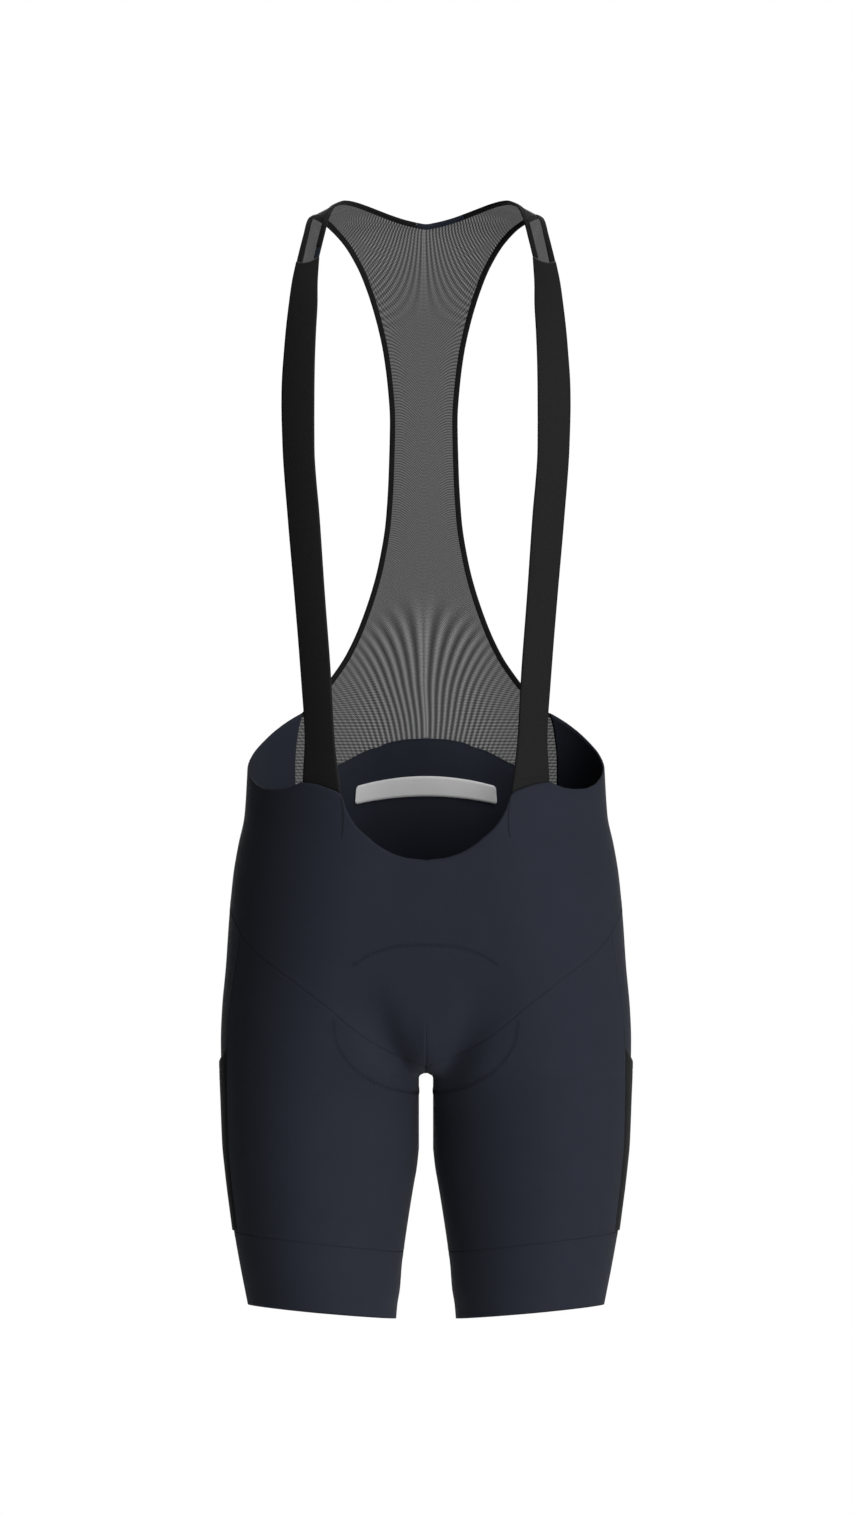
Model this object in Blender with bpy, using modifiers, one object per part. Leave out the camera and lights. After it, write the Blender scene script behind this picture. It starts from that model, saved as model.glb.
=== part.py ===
"""Cycling bib shorts in their worn form, hollow, with nobody in them.

Metres, +Z up. The wearer faces -Y, and the wearer's left is +X. The origin is on the shoulder line, where the
wearer carries the shorts. Every piece of cloth is an open sheet on its own surface, thickened inward.
"""

import math

import bmesh
import bpy
import numpy as np
from mathutils import Vector

OBJECT = "cycling_bib_shorts"

# Cloth, in metres.
KNIT = 0.0014  # the stretch knit of the body, the legs and the leg bands
NET = 0.0010  # the see-through back
ELASTIC = 0.0018  # the front straps
BINDING = 0.0024  # a folded tape round a raw edge, both layers and what is between
BINDING_WIDTH = 0.0038
POCKET = 0.0010
LABEL = 0.0010
SEAM = 0.0003  # between two pieces, and between a piece and what lies on it

# The body that the shorts are filled out to. Beta goes round one half of it: 0 at the centre front and down the
# inner leg, 90 on the front of the leg, 180 on the outer side, 270 on the back, and 360 at the centre back.
CROTCH = -0.7020
FRONT_RISE = (0.058, 1.6, 3.2)  # height from the crotch to the full body, its power aside and in the middle
BACK_RISE = (0.075, 1.6, 3.0)
BULGE = 0.0120  # half the width of the fuller middle
SQUARE = (0.50, 0.045)  # how square the inner leg is at the crotch, and how far below it the leg is round
FORK = 0.0045  # height of the rounded fork between the legs
FORK_GAP = 0.0056
TOUCH = 0.00015  # from the middle to either leg panel at the very top of the fork
GROIN = np.array(
    [  # z, how far from the middle the hollow beside the crotch lies, its depth, its width inward and outward
        (-0.6100, 0.0520, 0.0000, 0.0160, 0.0260),
        (-0.6280, 0.0455, 0.0012, 0.0150, 0.0280),
        (-0.6401, 0.0410, 0.0032, 0.0140, 0.0250),
        (-0.6521, 0.0365, 0.0055, 0.0130, 0.0220),
        (-0.6641, 0.0325, 0.0080, 0.0120, 0.0195),
        (-0.6737, 0.0290, 0.0104, 0.0110, 0.0180),
        (-0.6818, 0.0250, 0.0122, 0.0102, 0.0165),
        (-0.6882, 0.0215, 0.0132, 0.0093, 0.0160),
        (-0.6980, 0.0170, 0.0115, 0.0085, 0.0160),
        (-0.7200, 0.0140, 0.0040, 0.0080, 0.0130),
        (-0.7600, 0.0120, 0.0000, 0.0080, 0.0130),
    ]
)
SECTIONS = np.array(
    [  # z, outer side, mid: where front and back stand furthest out, front and back depth, inner leg
        (0.000, 0.1300, 0.0100, 0.060, 0.080, 0.0000),
        (-0.060, 0.1450, 0.0250, 0.090, 0.094, 0.0000),
        (-0.120, 0.1560, 0.0400, 0.105, 0.105, 0.0000),
        (-0.200, 0.1550, 0.0450, 0.115, 0.109, 0.0000),
        (-0.280, 0.1500, 0.0430, 0.112, 0.104, 0.0000),
        (-0.360, 0.1460, 0.0400, 0.105, 0.098, 0.0000),
        (-0.410, 0.1440, 0.0390, 0.101, 0.095, 0.0000),
        (-0.455, 0.1464, 0.0400, 0.100, 0.096, 0.0000),
        (-0.493, 0.1488, 0.0430, 0.104, 0.100, 0.0000),
        (-0.518, 0.1540, 0.0460, 0.107, 0.105, 0.0000),
        (-0.542, 0.1580, 0.0500, 0.109, 0.112, 0.0000),
        (-0.579, 0.1615, 0.0570, 0.109, 0.122, 0.0000),
        (-0.616, 0.1640, 0.0660, 0.106, 0.128, 0.0000),
        (-0.653, 0.1673, 0.0750, 0.101, 0.127, 0.0000),
        (-0.677, 0.1682, 0.0800, 0.098, 0.121, 0.0000),
        (-0.702, 0.1678, 0.0862, 0.095, 0.111, 0.0000),
        (-0.723, 0.1670, 0.0912, 0.092, 0.103, 0.0012),
        (-0.763, 0.1654, 0.0928, 0.088, 0.093, 0.0054),
        (-0.782, 0.1636, 0.0928, 0.085, 0.088, 0.0075),
        (-0.795, 0.1622, 0.0928, 0.084, 0.085, 0.0098),
        (-0.815, 0.1597, 0.0926, 0.081, 0.080, 0.0131),
        (-0.834, 0.1572, 0.0918, 0.078, 0.077, 0.0160),
        (-0.861, 0.1525, 0.0900, 0.075, 0.071, 0.0197),
        (-0.881, 0.1486, 0.0882, 0.072, 0.067, 0.0213),
        (-0.894, 0.1460, 0.0868, 0.070, 0.064, 0.0234),
        (-0.908, 0.1430, 0.0850, 0.068, 0.061, 0.0246),
    ]
)

# Edges and seams on that body.
SIDE_SEAM = 186.0  # beta where the front and the back panel meet
STRAP_IN, STRAP_OUT = 105.0, 124.0  # beta of the ends of a front strap's foot
TOP_EDGE = np.array(
    [  # beta, z: the cut edge, from the bottom of the front scoop, past the strap's foot, to the armhole
        (0.0, -0.5279),
        (45.0, -0.5261),
        (60.0, -0.5235),
        (69.0, -0.5208),
        (81.0, -0.5155),
        (89.0, -0.5108),
        (95.0, -0.5030),
        (99.0, -0.4950),
        (102.2, -0.4857),
        (105.0, -0.4745),
        (111.0, -0.4699),
        (117.5, -0.4667),
        (124.0, -0.4655),
        (127.0, -0.4676),
        (132.0, -0.4702),
        (138.5, -0.4711),
        (146.0, -0.4707),
        (154.5, -0.4682),
        (163.5, -0.4632),
        (174.0, -0.4566),
        (184.0, -0.4508),
        (194.0, -0.4423),
        (204.0, -0.4338),
        (214.5, -0.4238),
        (224.5, -0.4147),
        (232.0, -0.4085),
    ]
)
ARCH = np.array(
    [  # beta, z: where the back panel is sewn to the net, from the lower corner of the net to the centre back
        (231.0, -0.4812),
        (236.0, -0.4725),
        (243.0, -0.4612),
        (250.0, -0.4530),
        (255.0, -0.4487),
        (260.0, -0.4438),
        (266.0, -0.4387),
        (282.0, -0.4331),
        (309.0, -0.4302),
        (360.0, -0.4293),
    ]
)
WING_SEAM = np.array(
    [  # z, beta: the short upright seam between the net and the back panel, up to the armhole
        (-0.4812, 231.0),
        (-0.4640, 229.3),
        (-0.4430, 228.7),
        (-0.4250, 229.5),
        (-0.4085, 231.8),
    ]
)
YOKE_SEAM = np.array(
    [  # beta, z: the V from the hip to the crotch, the same on the back with beta mirrored
        (0.0, -0.7020),
        (8.0, -0.6950),
        (16.0, -0.6928),
        (23.5, -0.6914),
        (30.3, -0.6902),
        (38.3, -0.6878),
        (45.2, -0.6851),
        (51.4, -0.6818),
        (62.9, -0.6743),
        (73.8, -0.6653),
        (84.9, -0.6550),
        (99.9, -0.6392),
        (113.9, -0.6247),
        (128.9, -0.6107),
        (139.2, -0.6012),
        (150.0, -0.5900),
        (160.0, -0.5788),
        (170.0, -0.5706),
        (180.0, -0.5672),
        (190.0, -0.5706),
    ]
)
OUTSEAM = np.array(
    [  # z, front and back beta of the side panel's two edges
        (-0.560, 149.5, 214.5),
        (-0.600, 152.5, 217.0),
        (-0.640, 155.6, 219.5),
        (-0.680, 157.4, 221.0),
        (-0.720, 158.6, 221.5),
        (-0.760, 159.6, 221.5),
        (-0.835, 160.4, 220.5),
    ]
)
POCKET_TOP = np.array(
    [  # beta, z: the slanting mouth of the thigh pocket
        (157.0, -0.6805),
        (162.0, -0.6868),
        (177.0, -0.6950),
        (200.0, -0.7000),
        (224.0, -0.7010),
    ]
)
LEG_BAND = (-0.8423, 0.0083, 0.0055)  # z of the band's seam, how much higher it is outside, and in front
HEM = (-0.8997, 0.0058, 0.0062)
LABEL_TOP = (-0.4612, 0.0084)  # z of the size label's edge in the middle, and how much lower its ends are
LABEL_LOW = (-0.4780, 0.0068)
LABEL_HALF = 0.0590
LABEL_LEVEL = -0.4720  # about the middle of its ends
LABEL_ROUND = 0.0025

# The back above the waist.
WAIST_ROW = -0.4128  # the net's first row across, just under the ends of the armhole bindings
ARMHOLE = np.array(
    [  # z, half: the net's half width to the finished edge
        (-0.4085, 0.1033),
        (-0.3950, 0.0912),
        (-0.3816, 0.0800),
        (-0.3588, 0.0649),
        (-0.3302, 0.0521),
        (-0.2881, 0.0391),
        (-0.2460, 0.0320),
        (-0.2038, 0.0295),
        (-0.1617, 0.0286),
        (-0.1198, 0.0320),
        (-0.0989, 0.0353),
        (-0.0782, 0.0403),
        (-0.0575, 0.0466),
        (-0.0372, 0.0549),
    ]
)
FAN = np.array(
    [  # z on the middle line and on the armhole: rows that turn up to follow the neckline
        (-0.0780, -0.0860),
        (-0.0520, -0.0690),
        (-0.0255, -0.0525),
    ]
)
SHOULDER = np.array(
    [  # neckline x, y, z, then armhole x, y, z, then how far the row between them bows out
        (0.0000, 0.0800, 0.0005, 0.0549, 0.0853, -0.0372, 0.0017),
        (0.0134, 0.0785, 0.0028, 0.0605, 0.0812, -0.0270, 0.0018),
        (0.0317, 0.0730, 0.0081, 0.0670, 0.0760, -0.0175, 0.0024),
        (0.0499, 0.0590, 0.0136, 0.0745, 0.0685, -0.0095, 0.0026),
        (0.0637, 0.0370, 0.0150, 0.0815, 0.0555, -0.0043, 0.0020),
        (0.0705, 0.0190, 0.0120, 0.0885, 0.0400, -0.0012, 0.0012),
        (0.0750, 0.0030, 0.0074, 0.0945, 0.0200, -0.0008, 0.0006),
        (0.0773, -0.0100, 0.0017, 0.0977, -0.0010, -0.0064, 0.0005),
        (0.0802, -0.0280, -0.0088, 0.0995, -0.0220, -0.0176, 0.0004),
        (0.0828, -0.0420, -0.0226, 0.1019, -0.0400, -0.0300, 0.0004),
        (0.0863, -0.0560, -0.0398, 0.1047, -0.0540, -0.0441, 0.0004),
    ]
)
SWAY = -0.0019  # the net hangs a little to the wearer's right between the shoulders and the waist
STRAP_DIP = 0.0030  # how far the seam at the top of a front strap dips between its edges
STRAP = np.array(
    [  # z, inner x, outer x, inner y, outer y of a front strap, from its top seam to just above its foot
        (-0.0398, 0.0863, 0.1040, -0.0560, -0.0505),
        (-0.0529, 0.0872, 0.1068, -0.0655, -0.0615),
        (-0.0780, 0.0872, 0.1101, -0.0830, -0.0760),
        (-0.1159, 0.0887, 0.1135, -0.1030, -0.0940),
        (-0.1569, 0.0892, 0.1155, -0.1160, -0.1060),
        (-0.1971, 0.0891, 0.1145, -0.1210, -0.1110),
        (-0.2567, 0.0848, 0.1102, -0.1200, -0.1100),
        (-0.3162, 0.0809, 0.1052, -0.1140, -0.1040),
        (-0.3758, 0.0766, 0.1006, -0.1080, -0.0970),
        (-0.4325, 0.0735, 0.0974, -0.1010, -0.0890),
        (-0.4549, 0.0711, 0.0986, -0.0985, -0.0855),
    ]
)
# Columns of faces, as beta. Pieces that meet along the V or the arch have theirs in common.
FRONT_COLUMNS = [0, 10, 20, 30, 41, 52, 63, 73, 82, 90, 97, 101, 105, 111, 117.5, 124, 134, 145]
BACK_COLUMNS = [231, 240, 248, 256, 263, 271, 280, 290, 301, 312, 324, 336, 348, 360]
NET_COLUMNS = [231, 240, 248, 256, 263, 271, 280, 290, 312, 360]
NEAR = 1.3  # the width in degrees of a narrow column beside a seam, where the thickness must stand square

# The neck binding is black but for two navy lengths, given by their ends.
NAVY_BACK = (-0.0075, 0.0310)  # x of the ends of the length behind the neck
NAVY_END = 0.0105  # length of the one at the foot of the wearer's right shoulder

COLOURS = {  # linear RGB and roughness
    "navy_knit": ((0.022, 0.026, 0.041), 0.75),
    "black_knit": ((0.014, 0.014, 0.015), 0.80),
    "black_net": ((0.030, 0.030, 0.032), 0.70),
    "black_elastic": ((0.014, 0.014, 0.015), 0.65),
    "black_binding": ((0.010, 0.010, 0.011), 0.65),
    "navy_binding": ((0.022, 0.026, 0.041), 0.65),
    "grey_label": ((0.420, 0.420, 0.420), 0.60),
}


def smooth(rows, column, at):
    """A table's column at a value of its first column, along a curve that doesn't overshoot."""
    x, y = rows[:, 0], rows[:, column]
    if x[0] > x[-1]:
        x, y = x[::-1], y[::-1]
    at = min(max(at, x[0]), x[-1])
    slope = np.diff(y) / np.diff(x)
    both = slope[:-1] * slope[1:]
    inner = np.where(both > 0, 2 * both / np.where(both > 0, slope[:-1] + slope[1:], 1), 0)
    tangent = np.concatenate([slope[:1], inner, slope[-1:]])
    i = min(max(int(np.searchsorted(x, at)) - 1, 0), len(x) - 2)
    h = x[i + 1] - x[i]
    t = (at - x[i]) / h
    near = y[i] * (2 * t**3 - 3 * t**2 + 1) + tangent[i] * h * (t**3 - 2 * t**2 + t)
    far = y[i + 1] * (3 * t**2 - 2 * t**3) + tangent[i + 1] * h * (t**3 - t**2)
    return float(near + far)


def inner_leg(z):
    """How far the inner leg is from the middle, without and with the round-topped fork between the legs."""
    if z > CROTCH:
        return 0.0, 0.0
    broad = smooth(SECTIONS, 5, z)
    down = min((CROTCH - z) / FORK, 1.0)
    return broad, max(broad, TOUCH + FORK_GAP * (1 - (1 - down) ** 2) ** 0.37)


def fullness(x, z, rise):
    """How full the body is inside the legs: it rises from 0 at the crotch to 1, faster in the middle."""
    height, aside, middle = rise
    left = 1 - min(max((z - CROTCH) / height, 0.0), 1.0)
    near = math.exp(-((x / BULGE) ** 2))
    return 1 - left**middle * near - left**aside * (1 - near)


def roundness(z):
    """The power that a leg's inner side is drawn with: 1 for a round leg, and less where it is squarer."""
    least, height = SQUARE
    return 1 - (1 - least) * min(max(1 - (CROTCH - z) / height, 0.0), 1.0) ** 1.6


def groin(x, z):
    """How far the cloth sinks in beside the crotch, steeply on the inner side and gently towards the leg."""
    away = x - smooth(GROIN, 1, z)
    width = smooth(GROIN, 3 if away < 0 else 4, z)
    return smooth(GROIN, 2, z) * math.exp(-((away / width) ** 2))


def body(beta, z):
    """A point of the cloth's outer face on the +X half."""
    out, mid = smooth(SECTIONS, 1, z), smooth(SECTIONS, 2, z)
    c, s = math.cos(math.radians(beta)), math.sin(math.radians(beta))
    front = beta <= 180
    depth = -smooth(SECTIONS, 3, z) if front else smooth(SECTIONS, 4, z)
    if c > 0:
        broad, gap = inner_leg(z)
        x = math.sqrt((broad + (mid - broad) * (1 - c)) ** 2 + (gap**2 - broad**2) * c**2)
        full = fullness(x, z, FRONT_RISE if front else BACK_RISE)
        share = (s**2 + full * (1 - s**2)) ** (roundness(z) / 2)
    else:
        x, share = mid - (out - mid) * c, abs(s)
    sunk = groin(x, z) * share**2 if front else 0.0
    return Vector((x, depth * share + sunk, z))


def outward(beta, z):
    """The direction square to the body's surface."""
    round_it = body(min(beta + 0.5, 360), z) - body(max(beta - 0.5, 0), z)
    up_it = body(beta, z + 0.001) - body(beta, z - 0.001)
    return round_it.cross(up_it).normalized()


def back_beta(x, z):
    """Beta of the point of the back at this distance from the middle."""
    out, mid = smooth(SECTIONS, 1, z), smooth(SECTIONS, 2, z)
    c = 1 - x / mid if x < mid else (mid - x) / (out - mid)
    return 360 - math.degrees(math.acos(max(-1.0, min(1.0, c))))


def tilted(edge, beta):
    """z of a level cut round the leg, tilted outward and forward."""
    level, outside, front = edge
    b = math.radians(beta)
    return level - outside * math.cos(b) + front * math.sin(b)


def yoke(beta):
    return smooth(YOKE_SEAM, 1, min(beta, 360 - beta))


def read(values, t):
    """A list's value at t from 0 to 1, for even places in the list."""
    return float(np.interp(t * (len(values) - 1), range(len(values)), values))


def grid(bm, columns, rows, place):
    """A grid of faces, each corner put where place says for u and v from 0 to 1."""
    made = bmesh.ops.create_grid(bm, x_segments=columns, y_segments=rows, size=0.5)
    for v in made["verts"]:
        v.co = place(round(v.co.x + 0.5, 6), round(v.co.y + 0.5, 6))


def body_patch(bm, betas, rows, low, high, dense="low", power=1.0, lift=0.0):
    """A grid on the body between two edges. betas are its columns, as numbers or as functions of z."""

    def place(u, v):
        z = 0.5 * (low(200.0) + high(200.0))
        t = v**power if dense == "low" else 1 - (1 - v) ** power
        for _ in range(12):
            columns = [b(z) if callable(b) else b for b in betas]
            beta = read(columns, u)
            z = low(beta) + (high(beta) - low(beta)) * t
        return body(beta, z) + outward(beta, z) * lift if lift else body(beta, z)

    grid(bm, len(betas) - 1, rows, place)


def flipped(bm, verts, faces):
    """Puts cloth of the left half on the right."""
    bmesh.ops.scale(bm, vec=(-1, 1, 1), verts=verts)
    bmesh.ops.reverse_faces(bm, faces=faces)


def both_halves(bm):
    """Adds the right half to a piece that spans the middle."""
    made = bmesh.ops.duplicate(bm, geom=bm.verts[:] + bm.edges[:] + bm.faces[:])["geom"]
    verts = [g for g in made if isinstance(g, bmesh.types.BMVert)]
    flipped(bm, verts, [g for g in made if isinstance(g, bmesh.types.BMFace)])


def finish(name, bm, thickness, cloth, collection):
    """Joins the sheet's grids and makes it an object, thickened inward."""
    bmesh.ops.remove_doubles(bm, verts=bm.verts, dist=0.00002)
    mesh = bpy.data.meshes.new(name)
    bm.to_mesh(mesh)
    bm.free()
    thing = bpy.data.objects.new(name, mesh)
    mesh.materials.append(cloth)
    solid = thing.modifiers.new("cloth thickness", "SOLIDIFY")
    solid.thickness = thickness
    solid.offset = -1
    solid.use_quality_normals = True
    collection.objects.link(thing)
    return thing


def front_panel(cloth, collection):
    """The front of the body, from the scoop and the waist edge down to the V. Its halves are one piece."""
    bm = bmesh.new()
    side = SIDE_SEAM - 0.09
    columns = [*FRONT_COLUMNS, 156, 166, 176, side - NEAR, side]
    body_patch(bm, columns, 13, lambda b: yoke(b) + 0.0002, lambda b: smooth(TOP_EDGE, 1, b), power=1.6)
    both_halves(bm)
    finish("front_panel", bm, KNIT, cloth, collection)


def wing_edge(z):
    return smooth(WING_SEAM, 1, z)


def back_panel(cloth, collection):
    """The seat, up to the arch in the middle and to the cut edge of a wing on each side."""
    bm = bmesh.new()
    side = SIDE_SEAM + 0.09
    corner, level = ARCH[0]
    low = lambda b: yoke(b) + 0.0002
    body_patch(bm, BACK_COLUMNS, 12, low, lambda b: smooth(ARCH, 1, b), power=1.6)
    betas = [side, side + NEAR, 198, 209, 220, corner - NEAR, corner]
    body_patch(bm, betas, 12, low, lambda b: level, power=1.6)
    wing = [side, side + NEAR, 198, 209, 220, lambda z: wing_edge(z) - NEAR, wing_edge]
    body_patch(bm, wing, 7, lambda b: level, lambda b: smooth(TOP_EDGE, 1, b))
    both_halves(bm)
    finish("back_panel", bm, KNIT, cloth, collection)


def outseam(column, shift):
    return lambda z: smooth(OUTSEAM, column, z) + shift


def leg_panel(name, side, cloth, collection):
    """The leg from the V to the band, open where the side panel goes. It joins itself down the inner leg."""
    bm = bmesh.new()
    low = lambda b: tilted(LEG_BAND, b) + SEAM
    high = lambda b: yoke(b) - 0.0002
    front = [*FRONT_COLUMNS, outseam(1, -0.1 - NEAR), outseam(1, -0.1)]
    back = [outseam(2, 0.1), outseam(2, 0.1 + NEAR), *BACK_COLUMNS]
    body_patch(bm, front, 11, low, high, dense="high", power=1.6)
    body_patch(bm, back, 11, low, high, dense="high", power=1.6)
    if side < 0:
        flipped(bm, bm.verts, bm.faces)
    finish(name, bm, KNIT, cloth, collection)


def between_outseams(share):
    return lambda z: smooth(OUTSEAM, 1, z) * (1 - share) + smooth(OUTSEAM, 2, z) * share


def side_columns(inset):
    """The columns of the side panel, which the pocket on it shares."""
    inner = [between_outseams(i / 8) for i in range(1, 8)]
    return [outseam(1, 0.1 + inset), *inner, outseam(2, -0.1 - inset)]


def side_panel(name, side, cloth, collection):
    """The long panel on the outer side of the leg, from the V to the band."""
    bm = bmesh.new()
    first, *inner, last = side_columns(0.0)
    columns = [first, outseam(1, 0.1 + NEAR), *inner, outseam(2, -0.1 - NEAR), last]
    body_patch(bm, columns, 10, lambda b: tilted(LEG_BAND, b) + SEAM, lambda b: yoke(b) - 0.0006)
    if side < 0:
        flipped(bm, bm.verts, bm.faces)
    finish(name, bm, KNIT, cloth, collection)


def thigh_pocket(name, side, cloth, collection):
    """The pocket over the lower part of the side panel, open along its slanting top edge."""
    bm = bmesh.new()
    low = lambda b: tilted(LEG_BAND, b) + 0.0015
    body_patch(bm, side_columns(0.4), 7, low, lambda b: smooth(POCKET_TOP, 1, b), lift=SEAM + POCKET)
    if side < 0:
        flipped(bm, bm.verts, bm.faces)
    finish(name, bm, POCKET, cloth, collection)


def cuff(name, side, cloth, collection):
    """The wide band round the end of the leg, down to the cut hem."""
    bm = bmesh.new()
    columns = list(np.linspace(0, 360, 31))
    body_patch(bm, columns, 3, lambda b: tilted(HEM, b), lambda b: tilted(LEG_BAND, b))
    if side < 0:
        flipped(bm, bm.verts, bm.faces)
    finish(name, bm, KNIT, cloth, collection)


def on_back(x, z):
    return body(back_beta(x, z), z)


def curve_through(table, column, at):
    """A column of a table of points in space at a fraction of a row, on a round curve."""
    y = table[:, column]
    i = min(int(at), len(y) - 2)
    t = at - i
    p = (y[i + 1] - y[max(i - 1, 0)]) / (2 if i else 1)
    q = (y[min(i + 2, len(y) - 1)] - y[i]) / (2 if i < len(y) - 2 else 1)
    near = y[i] * (2 * t**3 - 3 * t**2 + 1) + p * (t**3 - 2 * t**2 + t)
    return float(near + y[i + 1] * (3 * t**2 - 2 * t**3) + q * (t**3 - t**2))


def level_row(z):
    return lambda t: on_back(smooth(ARMHOLE, 1, z) * t, z)


def tilted_row(z_in, z_out):
    """A row whose two ends are at different heights."""

    def row(t):
        z = z_in + (z_out - z_in) * t
        return on_back(smooth(ARMHOLE, 1, z_out) * t, z)

    return row


def shoulder_row(at):
    """A row over the shoulder, at a fraction of a row of the table."""
    inner, outer = (Vector([curve_through(SHOULDER, k, at) for k in cols]) for cols in ((0, 1, 2), (3, 4, 5)))
    step = 0.02 if at < len(SHOULDER) - 1 else -0.02
    ahead = Vector([curve_through(SHOULDER, k, at + step) for k in (3, 4, 5)]) - outer
    bow = (inner - outer).cross(ahead * math.copysign(1, step)).normalized() * curve_through(SHOULDER, 6, at)
    return lambda t: inner.lerp(outer, t) + bow * 4 * t * (1 - t)


def back_rows():
    """The rows of the back up to the neckline, as functions of t from the middle line to the armhole."""
    low, middle = np.linspace(-0.4085, -0.3302, 8), np.linspace(-0.3302, -0.1000, 13)
    return [level_row(z) for z in [*low, *middle[1:]]] + [tilted_row(a, b) for a, b in FAN]


def shoulder_rows():
    """The rows from the neckline to the armhole, from the back of the neck over the shoulder to the strap."""
    return [shoulder_row(at) for at in np.linspace(0, len(SHOULDER) - 1, 17)]


def edge_frames(rows, end):
    """Along one edge of the rows, 0 the inner and 1 the outer: points, directions into the cloth, normals."""
    frames = []
    for i, row in enumerate(rows):
        along = rows[min(i + 1, len(rows) - 1)](end) - rows[max(i - 1, 0)](end)
        across = row(abs(end - 0.08)) - row(end)
        if end == 0 and i == 0:
            along.y = along.z = 0
        normal = along.cross(across) if end == 0 else across.cross(along)
        normal.normalize()
        into = along.cross(normal).normalized()
        frames.append((row(end), into if into.dot(across) > 0 else -into, normal))
    return frames


def dipped(p, t, row_from_end):
    """Lets the last rows over the shoulder follow the dip of the seam at the top of the front strap."""
    share = max(0.0, 1 - row_from_end / 4)
    return p - Vector((0, 0, STRAP_DIP * share * 4 * t * (1 - t)))


def swayed(p):
    """The point with the sway of the net, which fades out at the waist and over the shoulders."""
    t = min(max((0.004 - p.z) / 0.012, 0.0), 1.0) * min(max((p.z + 0.42) / 0.04, 0.0), 1.0)
    t *= min(max(p.y / 0.05, 0.0), 1.0)
    return Vector((p.x + SWAY * t * t * (3 - 2 * t), p.y, p.z))


def sway(bm):
    for v in bm.verts:
        v.co = swayed(v.co)


def armhole_path():
    """Frames down one armhole's edge, from the waist over the shoulder to the front strap."""
    frames = edge_frames(back_rows() + shoulder_rows(), 1)
    corner, _, normal = frames[0]
    seam = body(wing_edge(WAIST_ROW) + 0.3, WAIST_ROW)
    frames[0] = (corner, (seam - corner).normalized(), normal)
    return frames


def back_net(cloth, collection):
    """The net: a horseshoe round the back panel's arch, a narrow back, and a yoke over each shoulder."""
    bm = bmesh.new()
    edge = lambda z: wing_edge(z) + 0.2
    columns = [edge, lambda z: wing_edge(z) + 0.2 + NEAR, *NET_COLUMNS[1:]]
    body_patch(bm, columns, 7, lambda b: smooth(ARCH, 1, b) + 0.0004, lambda b: WAIST_ROW)

    corner = body(edge(WAIST_ROW), WAIST_ROW)
    betas = [c(WAIST_ROW) if callable(c) else c for c in columns]
    share = [body(b, WAIST_ROW).x / corner.x for b in betas]
    back, over = back_rows(), shoulder_rows()
    outer_frames, neck_frames = armhole_path(), edge_frames(over, 0)
    last = len(outer_frames) - 1
    hem, neck_hem = BINDING_WIDTH + SEAM, BINDING_WIDTH + 2 * SEAM

    def between_bindings(i, t):
        row = (back + over)[i]
        t_out = 1 - hem / (row(1) - row(0)).length
        p, into, _ = outer_frames[i]
        lean = p + into * hem - row(t_out)
        if i < len(back):
            return row(t * t_out) + lean * t
        t_in = neck_hem / (row(1) - row(0)).length
        q, into, _ = neck_frames[i - len(back)]
        return row(t_in + (t_out - t_in) * t) + lean * t + (q + into * neck_hem - row(t_in)) * (1 - t)

    def place(u, v):
        i = round(v * last)
        t = read(share, u)
        if i == 0:
            return on_back(corner.x * t, WAIST_ROW)
        return dipped(between_bindings(i, t), 0.22 + 0.56 * t, last - i)

    grid(bm, len(columns) - 1, last, place)
    both_halves(bm)
    sway(bm)
    finish("back_net", bm, NET, cloth, collection)


def binding_strip(bm, frames, edge_first, ends):
    """A tape along an edge, with faces on both sides of the net's. ends: where the tape follows the dip."""
    last = len(frames) - 1

    def place(u, v):
        i = round(v * last)
        p, into, normal = frames[i]
        inside = u if edge_first else 1 - u
        p = p + into * BINDING_WIDTH * inside + normal * (BINDING - NET) / 2
        from_end = min([last - i] * ("last" in ends) + [i] * ("first" in ends) + [9])
        return dipped(p, 0.2 * inside, from_end)

    grid(bm, 1, last, place)


def armhole_binding(name, side, cloth, collection):
    bm = bmesh.new()
    frames = armhole_path()
    binding_strip(bm, frames, True, ("last",))
    if side < 0:
        flipped(bm, bm.verts, bm.faces)
    sway(bm)
    finish(name, bm, BINDING, cloth, collection)


def neck_path():
    """Frames along the whole neckline, from the strap on -X round the back of the neck to the one on +X."""
    right = edge_frames(shoulder_rows(), 0)
    flip = lambda a: Vector((-a.x, a.y, a.z))
    left = [(flip(p), flip(into), flip(n)) for p, into, n in right[:0:-1]]
    return left + right


def piece_of(frames, start, stop):
    """The frames between two distances along the path, with one at each of them."""
    along = np.cumsum([0.0] + [(b[0] - a[0]).length for a, b in zip(frames, frames[1:])])
    values = np.array([[*p, *into, *n] for p, into, n in frames])
    at = [start, *[a for a in along if start + 0.001 < a < stop - 0.001], stop]
    made = np.column_stack([np.interp(at, along, values[:, k]) for k in range(9)])
    return [(Vector(r[:3]), Vector(r[3:6]).normalized(), Vector(r[6:]).normalized()) for r in made]


def neck_lengths():
    """Distances along the neckline of the ends of its four lengths of tape."""
    frames = neck_path()
    along = np.cumsum([0.0] + [(b[0] - a[0]).length for a, b in zip(frames, frames[1:])])
    x = [p.x for p, _, _ in frames]
    middle = slice(len(x) // 2 - 6, len(x) // 2 + 7)
    navy = [float(np.interp(e, x[middle], along[middle])) for e in NAVY_BACK]
    return NAVY_END, navy[0], navy[1], float(along[-1])


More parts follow.
